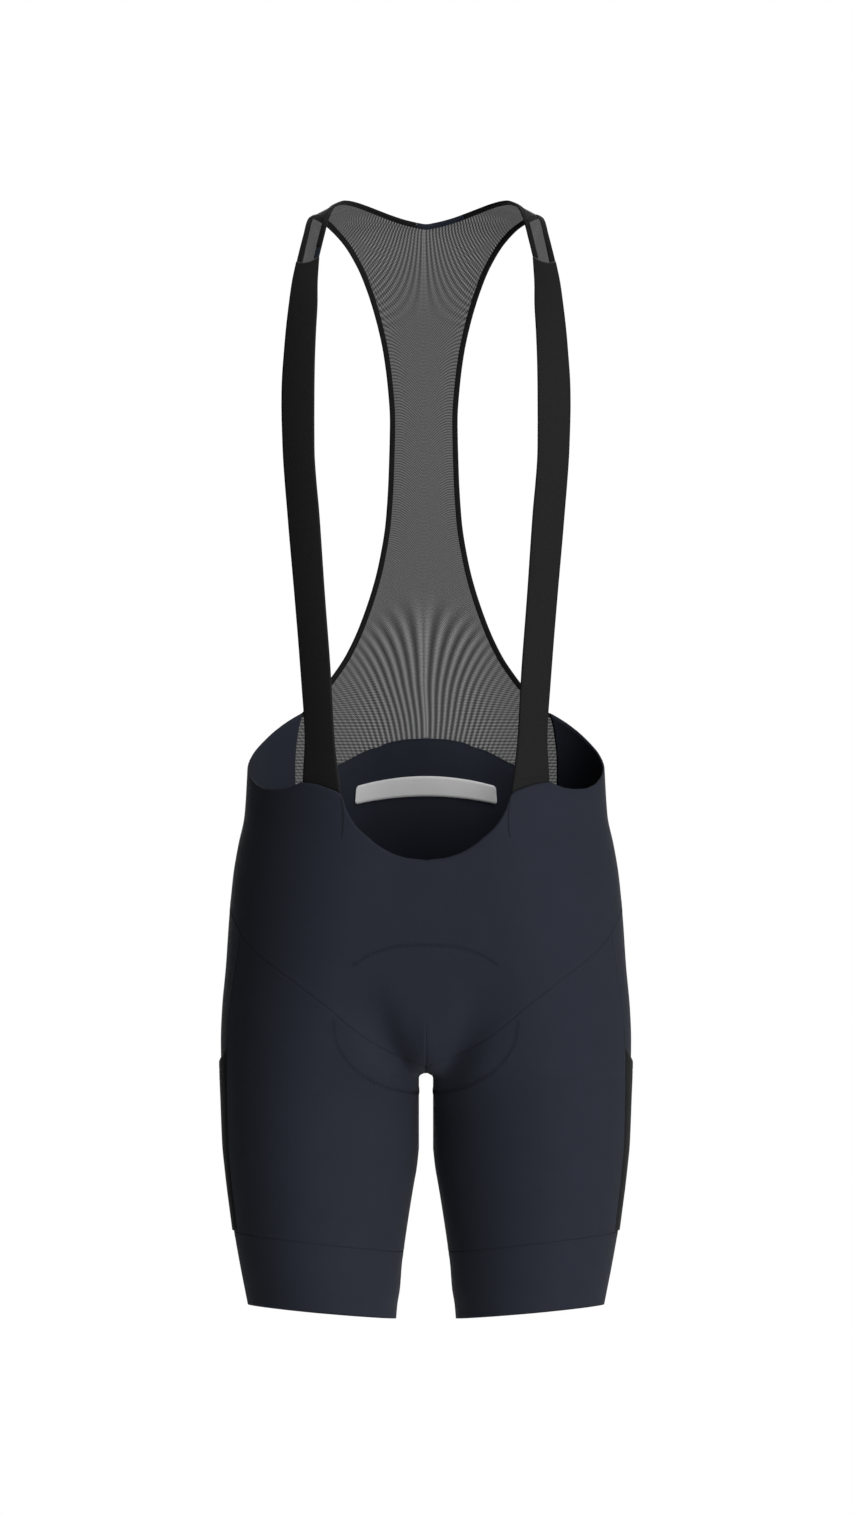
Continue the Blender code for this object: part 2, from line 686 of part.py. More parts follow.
def neck_bindings(black, navy, collection):
    end, first, second, total = neck_lengths()
    half = SEAM / 2
    pieces = {
        "neck_binding_navy_end": (0.0, end - half, navy, ("first",)),
        "neck_binding_right": (end + half, first - half, black, ()),
        "neck_binding_navy_back": (first + half, second - half, navy, ()),
        "neck_binding_left": (second + half, total, black, ("last",)),
    }
    for name, (start, stop, cloth, ends) in pieces.items():
        bm = bmesh.new()
        binding_strip(bm, piece_of(neck_path(), start, stop), False, ends)
        finish(name, bm, BINDING, cloth, collection)


def front_strap(name, side, cloth, collection):
    """An elastic strap down the chest, sewn to the yoke at its top and to the waist edge at its foot."""
    heights = list(np.linspace(-0.4549, -0.0610, 20))
    rows = 2 + len(heights)

    def foot(u):
        beta = STRAP_IN + (STRAP_OUT - STRAP_IN) * u
        return body(beta, smooth(TOP_EDGE, 1, beta) + SEAM)

    def across(u, z):
        x_in, x_out, y_in, y_out = (smooth(STRAP, k, z) for k in (1, 2, 3, 4))
        return Vector((x_in + (x_out - x_in) * u, y_in + (y_out - y_in) * u - 0.004 * u * (1 - u), z))

    def place(u, v):
        i = round(v * rows)
        if i == 0:
            return foot(u)
        if i == 1:
            return foot(u).lerp(across(u, heights[0]), 0.55)
        if i < rows:
            return across(u, heights[i - 2])
        top = SHOULDER[-1, 2] + (SHOULDER[-1, 5] - SHOULDER[-1, 2]) * u
        return across(u, top - STRAP_DIP * 4 * u * (1 - u) - 1.5 * SEAM)

    bm = bmesh.new()
    grid(bm, 5, rows, place)
    if side < 0:
        flipped(bm, bm.verts, bm.faces)
    finish(name, bm, ELASTIC, cloth, collection)


def size_label(cloth, collection):
    """The label inside the centre back, just under the arch, with rounded corners."""
    bm = bmesh.new()
    ends = [back_beta(LABEL_HALF - LABEL_ROUND * share, LABEL_LEVEL) for share in (0, 0.13, 0.5, 1)]
    columns = [*ends, *[b for b in BACK_COLUMNS if b > ends[-1] + 1]]

    def corner(beta):
        from_round = max(LABEL_ROUND - LABEL_HALF + body(beta, LABEL_LEVEL).x, 0)
        return LABEL_ROUND - math.sqrt(max(LABEL_ROUND**2 - from_round**2, 0))

    def edge(line, beta):
        level, drop = line
        return level - drop * (body(beta, LABEL_LEVEL).x / LABEL_HALF) ** 2

    low = lambda b: edge(LABEL_LOW, b) + corner(b)
    high = lambda b: edge(LABEL_TOP, b) - corner(b)
    body_patch(bm, columns, 2, low, high, lift=-(KNIT + SEAM))
    both_halves(bm)
    finish("size_label", bm, LABEL, cloth, collection)


def material(name):
    colour, rough = COLOURS[name]
    made = bpy.data.materials.new(name)
    made.use_nodes = True
    shader = made.node_tree.nodes["Principled BSDF"]
    shader.inputs["Base Color"].default_value = (*colour, 1)
    shader.inputs["Roughness"].default_value = rough
    made.diffuse_color = (*colour, 1)
    return made


def main():
    for thing in list(bpy.data.objects):
        bpy.data.objects.remove(thing)
    collection = bpy.data.collections.new(OBJECT)
    bpy.context.scene.collection.children.link(collection)

    front_panel(material("navy_knit"), collection)
    back_panel(material("navy_knit"), collection)
    back_net(material("black_net"), collection)
    neck_bindings(material("black_binding"), material("navy_binding"), collection)
    size_label(material("grey_label"), collection)
    for side, hand in ((1, "left"), (-1, "right")):
        leg_panel(f"leg_panel_{hand}", side, material("navy_knit"), collection)
        side_panel(f"side_panel_{hand}", side, material("navy_knit"), collection)
        thigh_pocket(f"thigh_pocket_{hand}", side, material("black_knit"), collection)
        cuff(f"leg_band_{hand}", side, material("navy_knit"), collection)
        front_strap(f"front_strap_{hand}", side, material("black_elastic"), collection)
        armhole_binding(f"armhole_binding_{hand}", side, material("black_binding"), collection)


main()
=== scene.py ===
# %% [markdown]
# # Cycling bib shorts
#
# This lesson dresses a plain CAD model of bib shorts: a body and legs of navy stretch knit, black elastic
# straps in front, a see-through net back with taped edges, and a small grey label inside. Every piece of
# cloth is a thin sheet that lies on the same body shape as its CAD solid, finely enough divided to take
# seams, stitches and creases. Lengths are metres. +Z is up, the wearer faces -Y, and the wearer's left is
# +X.

# %% Tools and the frame
import math

import bmesh
import bpy
import numpy as np
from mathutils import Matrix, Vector


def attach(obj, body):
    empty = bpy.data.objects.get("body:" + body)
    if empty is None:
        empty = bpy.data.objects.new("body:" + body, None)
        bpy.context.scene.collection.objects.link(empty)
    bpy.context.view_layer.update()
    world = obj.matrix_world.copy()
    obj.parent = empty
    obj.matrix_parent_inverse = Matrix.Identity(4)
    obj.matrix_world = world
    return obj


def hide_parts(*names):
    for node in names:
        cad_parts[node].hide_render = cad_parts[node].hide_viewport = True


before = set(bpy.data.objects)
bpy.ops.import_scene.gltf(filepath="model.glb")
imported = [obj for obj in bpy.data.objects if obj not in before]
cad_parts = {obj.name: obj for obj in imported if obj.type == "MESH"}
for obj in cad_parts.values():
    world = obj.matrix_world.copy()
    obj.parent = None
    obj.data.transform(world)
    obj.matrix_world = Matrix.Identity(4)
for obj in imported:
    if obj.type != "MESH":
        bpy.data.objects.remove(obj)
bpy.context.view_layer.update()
BODY = "root"
SIDES = ((1, "left"), (-1, "right"))  # the sign of x on each side of the wearer
MIRROR = np.array([-1, 1, 1])

# %% Small helpers


def table(*rows):
    return np.array(rows, float)


def unit(a):
    return a / np.maximum(np.linalg.norm(a, axis=-1, keepdims=True), 1e-12)


def bell(distance, width):
    """1 where there is no distance, and less and less away from there."""
    return np.exp(-((distance / width) ** 2))


def run_length(points):
    """How far along a line each of its points is."""
    return np.concatenate([[0], np.cumsum(np.linalg.norm(np.diff(points, axis=0), axis=-1))])


def curve(a, b, leaving, arriving, t):
    """From a to b by the share t, on a curve that leaves and arrives with these slopes."""
    near = a * (2 * t**3 - 3 * t**2 + 1) + leaving * (t**3 - 2 * t**2 + t)
    return near + b * (3 * t**2 - 2 * t**3) + arriving * (t**3 - t**2)


print("a curve from 0 to 1 that starts and ends level is at", curve(0, 1, 0, 0, 0.25), "after a quarter")

# %% [markdown]
# ## The body that the shorts are filled out to
#
# Stretch knit takes the shape of what is in it. So the first thing to describe is that shape: a table of
# level sections, from the shoulders to the hem, and a smooth curve through each column. An angle called
# beta goes round one half: 0 at the centre front and down the inner leg, 90 on the front of the leg, 180 on
# the outer side, 270 on the back and 360 at the centre back. Sculpting would give the same shape once, but
# a table can be read at any point, so that every panel, seam and stitch can find its place on it.

# %% Cloth and sections
KNIT = 0.0014
NET = 0.0010
ELASTIC = 0.0018
BINDING = 0.0024
BINDING_WIDTH = 0.0038
POCKET = 0.0010
LABEL = 0.0010
SEAM = 0.0003

CROTCH = -0.7020
# How far above the crotch the middle is as full as the legs, then how squarely it turns, aside and there
FRONT_RISE = (0.058, 1.6, 3.2)
BACK_RISE = (0.075, 1.6, 3.0)
SQUARE = (0.50, 0.045)  # how square the legs are inside at the crotch, and how far below it they are round
BULGE = 0.0120  # half the width of the fuller middle
FORK = 0.0045  # height of the rounded fork between the legs
FORK_GAP = 0.0056
TOUCH = 0.00015
# z, how far from the middle the hollow beside the crotch lies, its depth, its width inward and outward
GROIN = table(
    (-0.61, 0.052, 0, 0.016, 0.026),
    (-0.628, 0.0455, 0.0012, 0.015, 0.028),
    (-0.6401, 0.041, 0.0032, 0.014, 0.025),
    (-0.6521, 0.0365, 0.0055, 0.013, 0.022),
    (-0.6641, 0.0325, 0.008, 0.012, 0.0195),
    (-0.6737, 0.029, 0.0104, 0.011, 0.018),
    (-0.6818, 0.025, 0.0122, 0.0102, 0.0165),
    (-0.6882, 0.0215, 0.0132, 0.0093, 0.016),
    (-0.698, 0.017, 0.0115, 0.0085, 0.016),
    (-0.72, 0.014, 0.004, 0.008, 0.013),
    (-0.76, 0.012, 0, 0.008, 0.013),
)
# z, out: outer side, mid: where front and back stand furthest out, front and back depth, gap: inner leg
SECTIONS = table(
    (0, 0.13, 0.01, 0.06, 0.08, 0),
    (-0.06, 0.145, 0.025, 0.09, 0.094, 0),
    (-0.12, 0.156, 0.04, 0.105, 0.105, 0),
    (-0.2, 0.155, 0.045, 0.115, 0.109, 0),
    (-0.28, 0.15, 0.043, 0.112, 0.104, 0),
    (-0.36, 0.146, 0.04, 0.105, 0.098, 0),
    (-0.41, 0.144, 0.039, 0.101, 0.095, 0),
    (-0.455, 0.1464, 0.04, 0.1, 0.096, 0),
    (-0.493, 0.1488, 0.043, 0.104, 0.1, 0),
    (-0.518, 0.154, 0.046, 0.107, 0.105, 0),
    (-0.542, 0.158, 0.05, 0.109, 0.112, 0),
    (-0.579, 0.1615, 0.057, 0.109, 0.122, 0),
    (-0.616, 0.164, 0.066, 0.106, 0.128, 0),
    (-0.653, 0.1673, 0.075, 0.101, 0.127, 0),
    (-0.677, 0.1682, 0.08, 0.098, 0.121, 0),
    (-0.702, 0.1678, 0.0862, 0.095, 0.111, 0),
    (-0.723, 0.167, 0.0912, 0.092, 0.103, 0.0012),
    (-0.763, 0.1654, 0.0928, 0.088, 0.093, 0.0054),
    (-0.782, 0.1636, 0.0928, 0.085, 0.088, 0.0075),
    (-0.795, 0.1622, 0.0928, 0.084, 0.085, 0.0098),
    (-0.815, 0.1597, 0.0926, 0.081, 0.08, 0.0131),
    (-0.834, 0.1572, 0.0918, 0.078, 0.077, 0.016),
    (-0.861, 0.1525, 0.09, 0.075, 0.071, 0.0197),
    (-0.881, 0.1486, 0.0882, 0.072, 0.067, 0.0213),
    (-0.894, 0.146, 0.0868, 0.07, 0.064, 0.0234),
    (-0.908, 0.143, 0.085, 0.068, 0.061, 0.0246),
)
print("the body has", len(SECTIONS), "level sections")

# %% Reading a table along a smooth curve


def smooth(rows, column, at):
    """A table's column at values of its first column, along a curve that doesn't overshoot."""
    x, y = rows[:, 0], rows[:, column]
    if x[0] > x[-1]:
        x, y = x[::-1], y[::-1]
    at = np.clip(at, x[0], x[-1])
    slope = np.diff(y) / np.diff(x)
    both = slope[:-1] * slope[1:]
    inner = np.where(both > 0, 2 * both / np.where(both > 0, slope[:-1] + slope[1:], 1), 0)
    tangent = np.concatenate([slope[:1], inner, slope[-1:]])
    i = np.clip(np.searchsorted(x, at) - 1, 0, len(x) - 2)
    h = x[i + 1] - x[i]
    return curve(y[i], y[i + 1], tangent[i] * h, tangent[i + 1] * h, (at - x[i]) / h)


def drawn(rows, column=1):
    """A table's column as a function of its first column."""
    return lambda at: smooth(rows, column, at)


print("the hips are widest,", round(2 * float(SECTIONS[:, 1].max()), 3), "m, just above the crotch")


def inner_leg(z):
    """How far the inner leg is from the middle, without and with the round-topped fork between the legs."""
    broad = np.where(z > CROTCH, 0.0, smooth(SECTIONS, 5, z))
    down = np.clip((CROTCH - z) / FORK, 0, 1)
    fork = np.where(z > CROTCH, 0.0, TOUCH + FORK_GAP * (1 - (1 - down) ** 2) ** 0.37)
    return broad, np.maximum(broad, fork)


def fullness(x, z, rise):
    """How full the body is inside the legs: it rises from 0 at the crotch to 1, faster in the middle."""
    height, aside, middle = rise
    left = 1 - np.clip((z - CROTCH) / height, 0, 1)
    near = bell(x, BULGE)
    return 1 - left**middle * near - left**aside * (1 - near)


def roundness(z):
    """The power that a leg's inner side is drawn with: 1 for a round leg, and less where it is squarer."""
    least, height = SQUARE
    return 1 - (1 - least) * np.clip(1 - (CROTCH - z) / height, 0, 1) ** 1.6


def groin(x, z):
    """How far the cloth sinks in beside the crotch, steeply on the inner side and gently towards the leg."""
    away = x - smooth(GROIN, 1, z)
    width = np.where(away < 0, smooth(GROIN, 3, z), smooth(GROIN, 4, z))
    return smooth(GROIN, 2, z) * bell(away, width)


def body(beta, z):
    """Points of the cloth's outer face on the +X half."""
    beta, z = np.broadcast_arrays(np.asarray(beta, float), np.asarray(z, float))
    out, mid = smooth(SECTIONS, 1, z), smooth(SECTIONS, 2, z)
    broad, gap = inner_leg(z)
    c, s = np.cos(np.radians(beta)), np.sin(np.radians(beta))
    front = beta <= 180
    depth = np.where(front, -smooth(SECTIONS, 3, z), smooth(SECTIONS, 4, z))
    inner_x = np.sqrt((broad + (mid - broad) * (1 - c)) ** 2 + (gap**2 - broad**2) * c**2)
    x = np.where(c > 0, inner_x, mid - (out - mid) * c)
    full = np.where(front, fullness(x, z, FRONT_RISE), fullness(x, z, BACK_RISE))
    inner = (s**2 + full * (1 - s**2)) ** (roundness(z) / 2)
    share = np.where(c > 0, inner, np.abs(s))
    y = depth * share + np.where(front, groin(x, z) * share**2, 0)
    return np.stack([x, y, z], axis=-1)


def outward(beta, z):
    """The direction square to the body's surface."""
    round_it = body(np.minimum(beta + 0.5, 360), z) - body(np.maximum(beta - 0.5, 0), z)
    up_it = body(beta, z + 0.001) - body(beta, z - 0.001)
    return unit(np.cross(round_it, up_it))


GIRTH_Z = np.linspace(-0.92, -0.40, 105)
GIRTH_BETA = np.linspace(0, 360, 721)
GIRTH = np.array([run_length(body(GIRTH_BETA, z)) for z in GIRTH_Z])


def girth(beta, z):
    """How far round the body a point is from the centre front, measured along the cloth."""
    beta, z = np.asarray(beta, float), np.asarray(z, float)
    row = np.clip((z - GIRTH_Z[0]) / (GIRTH_Z[1] - GIRTH_Z[0]), 0, len(GIRTH_Z) - 1.001)
    column = np.clip(beta / (GIRTH_BETA[1] - GIRTH_BETA[0]), 0, len(GIRTH_BETA) - 1.001)
    i, j = row.astype(int), column.astype(int)
    a, b = row - i, column - j
    near = GIRTH[i, j] * (1 - b) + GIRTH[i, j + 1] * b
    return near * (1 - a) + (GIRTH[i + 1, j] * (1 - b) + GIRTH[i + 1, j + 1] * b) * a


print("girth of one leg at the hem", round(float(girth(360, -0.90)), 4))
print("girth of the hips", round(float(2 * girth(360, -0.616)), 4))

# %% [markdown]
# ## The cutting lines
#
# A pattern cutter draws the panels on a stretched body and peels them off. Here too each edge and seam is a
# line on the body, given as a few places along it: the cut waist edge with its scoop, the arch of the back,
# the V from the hips to the crotch, the two outseams, the slanting mouth of the pocket, and the two level
# cuts round each leg.

# %% Edges and seams
SIDE_SEAM = 186.0
STRAP_IN, STRAP_OUT = 105.0, 124.0
# beta, z: the cut edge, from the bottom of the front scoop, past the strap's foot, to the armhole
TOP_EDGE = table(
    (0, -0.5279), (45, -0.5261), (60, -0.5235), (69, -0.5208), (81, -0.5155), (89, -0.5108), (95, -0.503),
    (99, -0.495), (102.2, -0.4857), (105, -0.4745), (111, -0.4699), (117.5, -0.4667), (124, -0.4655),
    (127, -0.4676), (132, -0.4702), (138.5, -0.4711), (146, -0.4707), (154.5, -0.4682), (163.5, -0.4632),
    (174, -0.4566), (184, -0.4508), (194, -0.4423), (204, -0.4338), (214.5, -0.4238), (224.5, -0.4147),
    (232, -0.4085),
)
# beta, z: where the seat is sewn to the net, from the lower corner of the net to the centre back
ARCH = table(
    (231, -0.4812), (236, -0.4725), (243, -0.4612), (250, -0.453), (255, -0.4487), (260, -0.4438),
    (266, -0.4387), (282, -0.4331), (309, -0.4302), (360, -0.4293),
)
# z, beta: the short upright seam between the net and the seat, up to the armhole
WING_SEAM = table(
    (-0.4812, 231), (-0.464, 229.3), (-0.443, 228.7), (-0.425, 229.5), (-0.4085, 231.8),
)
# beta, z: the V from the hip to the crotch, the same on the back with beta mirrored
YOKE_SEAM = table(
    (0, -0.702), (8, -0.695), (16, -0.6928), (23.5, -0.6914), (30.3, -0.6902), (38.3, -0.6878),
    (45.2, -0.6851), (51.4, -0.6818), (62.9, -0.6743), (73.8, -0.6653), (84.9, -0.655), (99.9, -0.6392),
    (113.9, -0.6247), (128.9, -0.6107), (139.2, -0.6012), (150, -0.59), (160, -0.5788), (170, -0.5706),
    (180, -0.5672), (190, -0.5706),
)
# z, front and back beta of the side panel's two edges
OUTSEAM = table(
    (-0.56, 149.5, 214.5), (-0.6, 152.5, 217), (-0.64, 155.6, 219.5), (-0.68, 157.4, 221),
    (-0.72, 158.6, 221.5), (-0.76, 159.6, 221.5), (-0.835, 160.4, 220.5),
)
# beta, z: the slanting mouth of the thigh pocket
POCKET_TOP = table(
    (157, -0.6805), (162, -0.6868), (177, -0.695), (200, -0.7), (224, -0.701),
)
LEG_BAND = (-0.8423, 0.0083, 0.0055)  # z of the band's seam, how much higher it is outside, and in front
HEM = (-0.8997, 0.0058, 0.0062)


def tilted(edge, beta):
    """z of a level cut round the leg, tilted outward and forward."""
    level, outside, front = edge
    return level - outside * np.cos(np.radians(beta)) + front * np.sin(np.radians(beta))


def yoke(beta):
    return smooth(YOKE_SEAM, 1, np.minimum(beta, 360 - beta))


def band_top(beta):
    return tilted(LEG_BAND, beta)


def hem(beta):
    return tilted(HEM, beta)


def always(value):
    return lambda at: value + 0 * at


top_edge, arch, wing_edge, pocket_mouth = drawn(TOP_EDGE), drawn(ARCH), drawn(WING_SEAM), drawn(POCKET_TOP)
front_outseam, back_outseam = drawn(OUTSEAM, 1), drawn(OUTSEAM, 2)
print("inside the leg, the knit above the band is", round(float(CROTCH - band_top(0)), 3), "m long")


# %% [markdown]
# ## Laying cloth
#
# A panel is a grid: its columns run between two side edges and its rows between two level edges. bmesh
# makes the grid, and each of its corners then moves to its place on the body. Beside a seam the rows are
# closer, because that is where the cloth turns in. Each corner also keeps where it was on the flat cloth,
# as an attribute, so that the knit can be drawn true to size however the panel curves.

# %% Helpers that every piece uses
STEP = 0.0026
CLOSE = (0.0003, 0.0006, 0.0010, 0.0015, 0.0022, 0.0034, 0.0052)  # distances of the rows beside a seam
FITS = 14  # rounds in which a sloping edge and a sloping side find each other
SLANT = 0.85  # a sloping seam is nearer to a place above it than their difference in height
SEAM_DEPTH, SEAM_HALF = 0.00020, 0.00055  # of a seam's groove
SEAM_RISE, RISE_AWAY, RISE_HALF = 0.00016, 0.0022, 0.0018  # of the low ridge beside it


def spaced(length, start=False, end=False, step=STEP):
    """Shares from 0 to 1 along a stretch of cloth, even but for close ones beside a seam at either end."""
    first = CLOSE if start else ()
    last = CLOSE if end else ()
    a = first[-1] if first else 0.0
    b = length - (last[-1] if last else 0.0)
    inner = np.linspace(a, b, max(2, round((b - a) / step) + 1))
    at = [0.0, *first, *inner, *[length - d for d in last], length]
    return np.unique(np.round(at, 7)) / round(length, 7)


class Stretch:
    """A stretch of cloth on the body between two side edges and two level edges, as arrays of beta and z."""

    def __init__(self, left, right, low, high, level, seams=(), step=STEP, close=()):
        ends = np.array([float(left(np.array(level))), float(right(np.array(level)))])
        fine = np.linspace(ends[0], ends[1], 600)
        run = run_length(body(fine, level))
        tall = float(high(ends.mean()) - low(ends.mean()))
        close = (*seams, *close)
        across = spaced(run[-1], "left" in close, "right" in close, step)
        up = spaced(tall, "low" in close, "high" in close, step)
        u = np.interp(across, run / run[-1], np.linspace(0, 1, 600))[:, None] + 0 * up[None, :]
        v = up[None, :] + 0 * u
        z = level + 0 * u
        for _ in range(FITS):
            beta = left(z) + (right(z) - left(z)) * u
            z = low(beta) + (high(beta) - low(beta)) * v
        self.beta, self.z = beta, z
        self.points = body(beta, z)
        self.normals = outward(beta, z)
        middle = np.clip(self.points[..., 0] / 0.002, 0, 1)
        self.normals[..., 0] *= np.where(z > CROTCH, middle, 1)
        away = {
            "left": np.linalg.norm(self.points - body(left(z), z), axis=-1),
            "right": np.linalg.norm(self.points - body(right(z), z), axis=-1),
            "low": (z - low(beta)) * SLANT,
            "high": (high(beta) - z) * SLANT,
        }
        self.relief = sum(seam_relief(away[s]) for s in seams) + 0 * z
        self.away = away
        self.flat = np.stack([girth(beta, z), z, 0 * z], axis=-1)

    def half(self, side, relief=0.0):
        """Points and flat coordinates on one side of the wearer, moved out by the seams and this relief."""
        points = self.points + self.normals * (self.relief + relief)[..., None]
        if side > 0:
            return points, self.flat
        return points[::-1] * MIRROR, self.flat[::-1] * MIRROR


def seam_relief(distance):
    """A seam pulls the cloth in, and the turned edges behind it push the cloth out beside it."""
    return SEAM_RISE * bell(distance - RISE_AWAY, RISE_HALF) - SEAM_DEPTH * bell(distance, SEAM_HALF)


def lay(bm, points, flat):
    """A grid of faces with its corners at these points, each keeping its place on the flat cloth."""
    cloth = bm.verts.layers.float_vector.get("cloth") or bm.verts.layers.float_vector.new("cloth")
    across, up = points.shape[0] - 1, points.shape[1] - 1
    made = bmesh.ops.create_grid(bm, x_segments=across, y_segments=up, size=0.5)["verts"]
    at = np.array([v.co[:2] for v in made]) + 0.5
    i = np.rint(at[:, 0] * across).astype(int)
    j = np.rint(at[:, 1] * up).astype(int)
    for v, place, where in zip(made, points[i, j].tolist(), flat[i, j].tolist()):
        v.co = place
        v[cloth] = where


def hang(name, bm, material, node=None, wall=0.0):
    """Joins the grids of a piece, makes it an object, gives the cloth its wall and ties it to the frame."""
    bmesh.ops.remove_doubles(bm, verts=bm.verts, dist=0.00002)
    if not wall:
        edges = [e for e in bm.edges if e.is_boundary]
        bmesh.ops.holes_fill(bm, edges=edges, sides=0)
        bmesh.ops.recalc_face_normals(bm, faces=bm.faces)
    for face in bm.faces:
        face.smooth = True
    mesh = bpy.data.meshes.new(name)
    bm.to_mesh(mesh)
    bm.free()
    piece = bpy.data.objects.new(name, mesh)
    bpy.context.scene.collection.objects.link(piece)
    mesh.materials.append(material)
    if wall:
        solid = piece.modifiers.new("cloth thickness", "SOLIDIFY")
        solid.thickness = wall
        solid.offset = -1
        solid.use_quality_normals = True
    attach(piece, BODY)
    if node:
        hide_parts(*([node] if isinstance(node, str) else node))
    area = sum(p.area for p in mesh.polygons)
    print(f"{name}: {len(mesh.polygons)} faces, {area * 1e4:.1f} cm2")
    return piece

# %% [markdown]
# ## Finishes
#
# A finish is a small network of shader nodes. Wiring it by hand in the editor is fine for one material, but
# the patterns here are sums: so many wales to the centimetre, so much darker in the grooves. A small class
# lets plain arithmetic add the Math nodes, and one method adds any other node.

# %% Shader arithmetic


def operator(operation, swapped=False):
    """A method that adds one Math node."""

    def apply(self, *others):
        numbers = (*others, self) if swapped else (self, *others)
        return self.finish.node("Math", {"operation": operation}, dict(enumerate(numbers)))

    return apply


class Value:
    """A number that changes over the cloth. Arithmetic on it adds Math nodes."""

    __add__, __radd__ = operator("ADD"), operator("ADD", True)
    __sub__, __rsub__ = operator("SUBTRACT"), operator("SUBTRACT", True)
    __mul__, __rmul__ = operator("MULTIPLY"), operator("MULTIPLY", True)
    __truediv__ = operator("DIVIDE")
    sine, whole, part = operator("SINE"), operator("FLOOR"), operator("FRACT")
    size, root = operator("ABSOLUTE"), operator("SQRT")

    def __init__(self, finish, socket):
        self.finish = finish
        self.socket = socket

    def ramp(self, low, high, start=0.0, end=1.0):
        """A smooth step from start at low to end at high."""
        values = {"Value": self, "From Min": low, "From Max": high, "To Min": start, "To Max": end}
        return self.finish.node("MapRange", {"interpolation_type": "SMOOTHSTEP"}, values)


class Finish:
    """A material with one Principled shader, built up in plain words."""

    def __init__(self, name, **constants):
        self.material = bpy.data.materials.new(name)
        self.material.use_nodes = True
        self.nodes = self.material.node_tree.nodes
        self.links = self.material.node_tree.links
        self.shader = self.nodes["Principled BSDF"]
        for socket, value in constants.items():
            self.shader.inputs[socket.replace("_", " ")].default_value = value

    def node(self, kind, settings=None, sockets=None, out=0):
        made = self.nodes.new("ShaderNode" + kind)
        for name, value in (settings or {}).items():
            setattr(made, name, value)
        for name, value in (sockets or {}).items():
            self.plug(made.inputs[name], value)
        return Value(self, made.outputs[out])

    def plug(self, socket, value):
        if isinstance(value, Value):
            self.links.new(value.socket, socket)
        else:
            socket.default_value = value

    def set(self, socket, value):
        self.plug(self.shader.inputs[socket], value)

    def cloth(self):
        """The place on the flat cloth, as a vector and as its three numbers: across, along, and the rib's."""
        place = self.node("Attribute", {"attribute_name": "cloth"}, out="Vector")
        parts = self.node("SeparateXYZ", None, {0: place}).socket.node.outputs
        return place, *(Value(self, part) for part in parts)

    def noise(self, place, scale, detail=2.0):
        return self.node("TexNoise", None, {"Vector": place, "Scale": scale, "Detail": detail})

    def colour(self, share, first, second):
        """A colour between two, by a share from 0 to 1."""
        ends = {0: share, 6: (*first, 1), 7: (*second, 1)}
        self.set("Base Color", self.node("Mix", {"data_type": "RGBA"}, ends, out=2))

    def bump(self, height, distance, strength):
        sockets = {"Height": height, "Distance": distance, "Strength": strength}
        self.set("Normal", self.node("Bump", None, sockets))


def turns(pitch):
    """The factor that makes a sine repeat at this pitch."""
    return 2 * math.pi / pitch


print("a sine that repeats at each millimetre is taken of", round(turns(0.001)), "times the length")

# %% [markdown]
# ### The knits
#
# Warp knit for cycling is fine and matte: upright wales a little over half a millimetre apart, crossed by
# closer courses. At arm's length they are too fine to see and leave an even cloth with a faint grain. The
# grain is noise at the size of a stitch, and slower noise lets the dye vary a little. Nothing is glossy, so
# the specular level is low, and a little sheen stands for the fibre ends that catch light from the side.

# %% Navy and black knit
WALE = 0.0006
COURSE = 0.00045


def knit(name, dark, light, rough=0.75):
    finish = Finish(name, Roughness=rough, Specular_IOR_Level=0.06, Sheen_Weight=0.05, Sheen_Roughness=0.5)
    place, across, along, _ = finish.cloth()
    lean = (along * turns(COURSE)).sine() * 0.00008
    wales = ((across + lean) * turns(WALE)).sine()
    courses = (along * turns(COURSE)).sine()
    stitches = wales * 0.6 + courses * 0.4
    speck = finish.noise(place, 1100.0, 2.0)
    dye = finish.noise(place, 38.0, 3.0)
    share = 0.5 + (speck - 0.5) * 0.9 + (dye - 0.5) * 0.35 + stitches * 0.06
    finish.colour(share, dark, light)
    finish.bump(stitches * 0.5 + speck * 0.8, 0.00010, 0.6)
    return finish.material


navy_knit = knit("navy stretch knit", (0.0199, 0.0229, 0.0335), (0.0291, 0.0331, 0.0487))
black_knit = knit("black stretch knit", (0.0105, 0.0105, 0.0112), (0.0175, 0.0175, 0.0188), rough=0.8)
print("the knit has", round(0.01 / WALE), "wales to the centimetre")

# %% [markdown]
# ### The net
#
# The back is a fine net: the threads hide nearly everything behind it, and small staggered holes let the
# light through. Cutting thousands of holes would be heavy and would flicker, so the holes are in the
# material: alpha drops where a point is nearer than a hole's radius to the middle of its cell.

# %% See-through net
HOLE_PITCH = 0.00135
HOLE_ROW = 0.00115
HOLE = 0.00042
COURSES = 0.0026
COVER, THREAD_COVER, COURSE_COVER = 0.582, 0.22, 0.085  # how much of the light the net stops, and its threads
RIB_DEPTH = 0.125  # how much more and less it stops by its ribs
RIBS_LOW, RIBS_HIGH = (-0.350, -0.300), (-0.085, 0.005)  # heights between which they fade out, and in again
RIBS_END = (0.020, 0.050)  # where they end over the shoulder
RIBS_ASIDE = (0.030, 0.070)  # distances from the middle between which they weaken


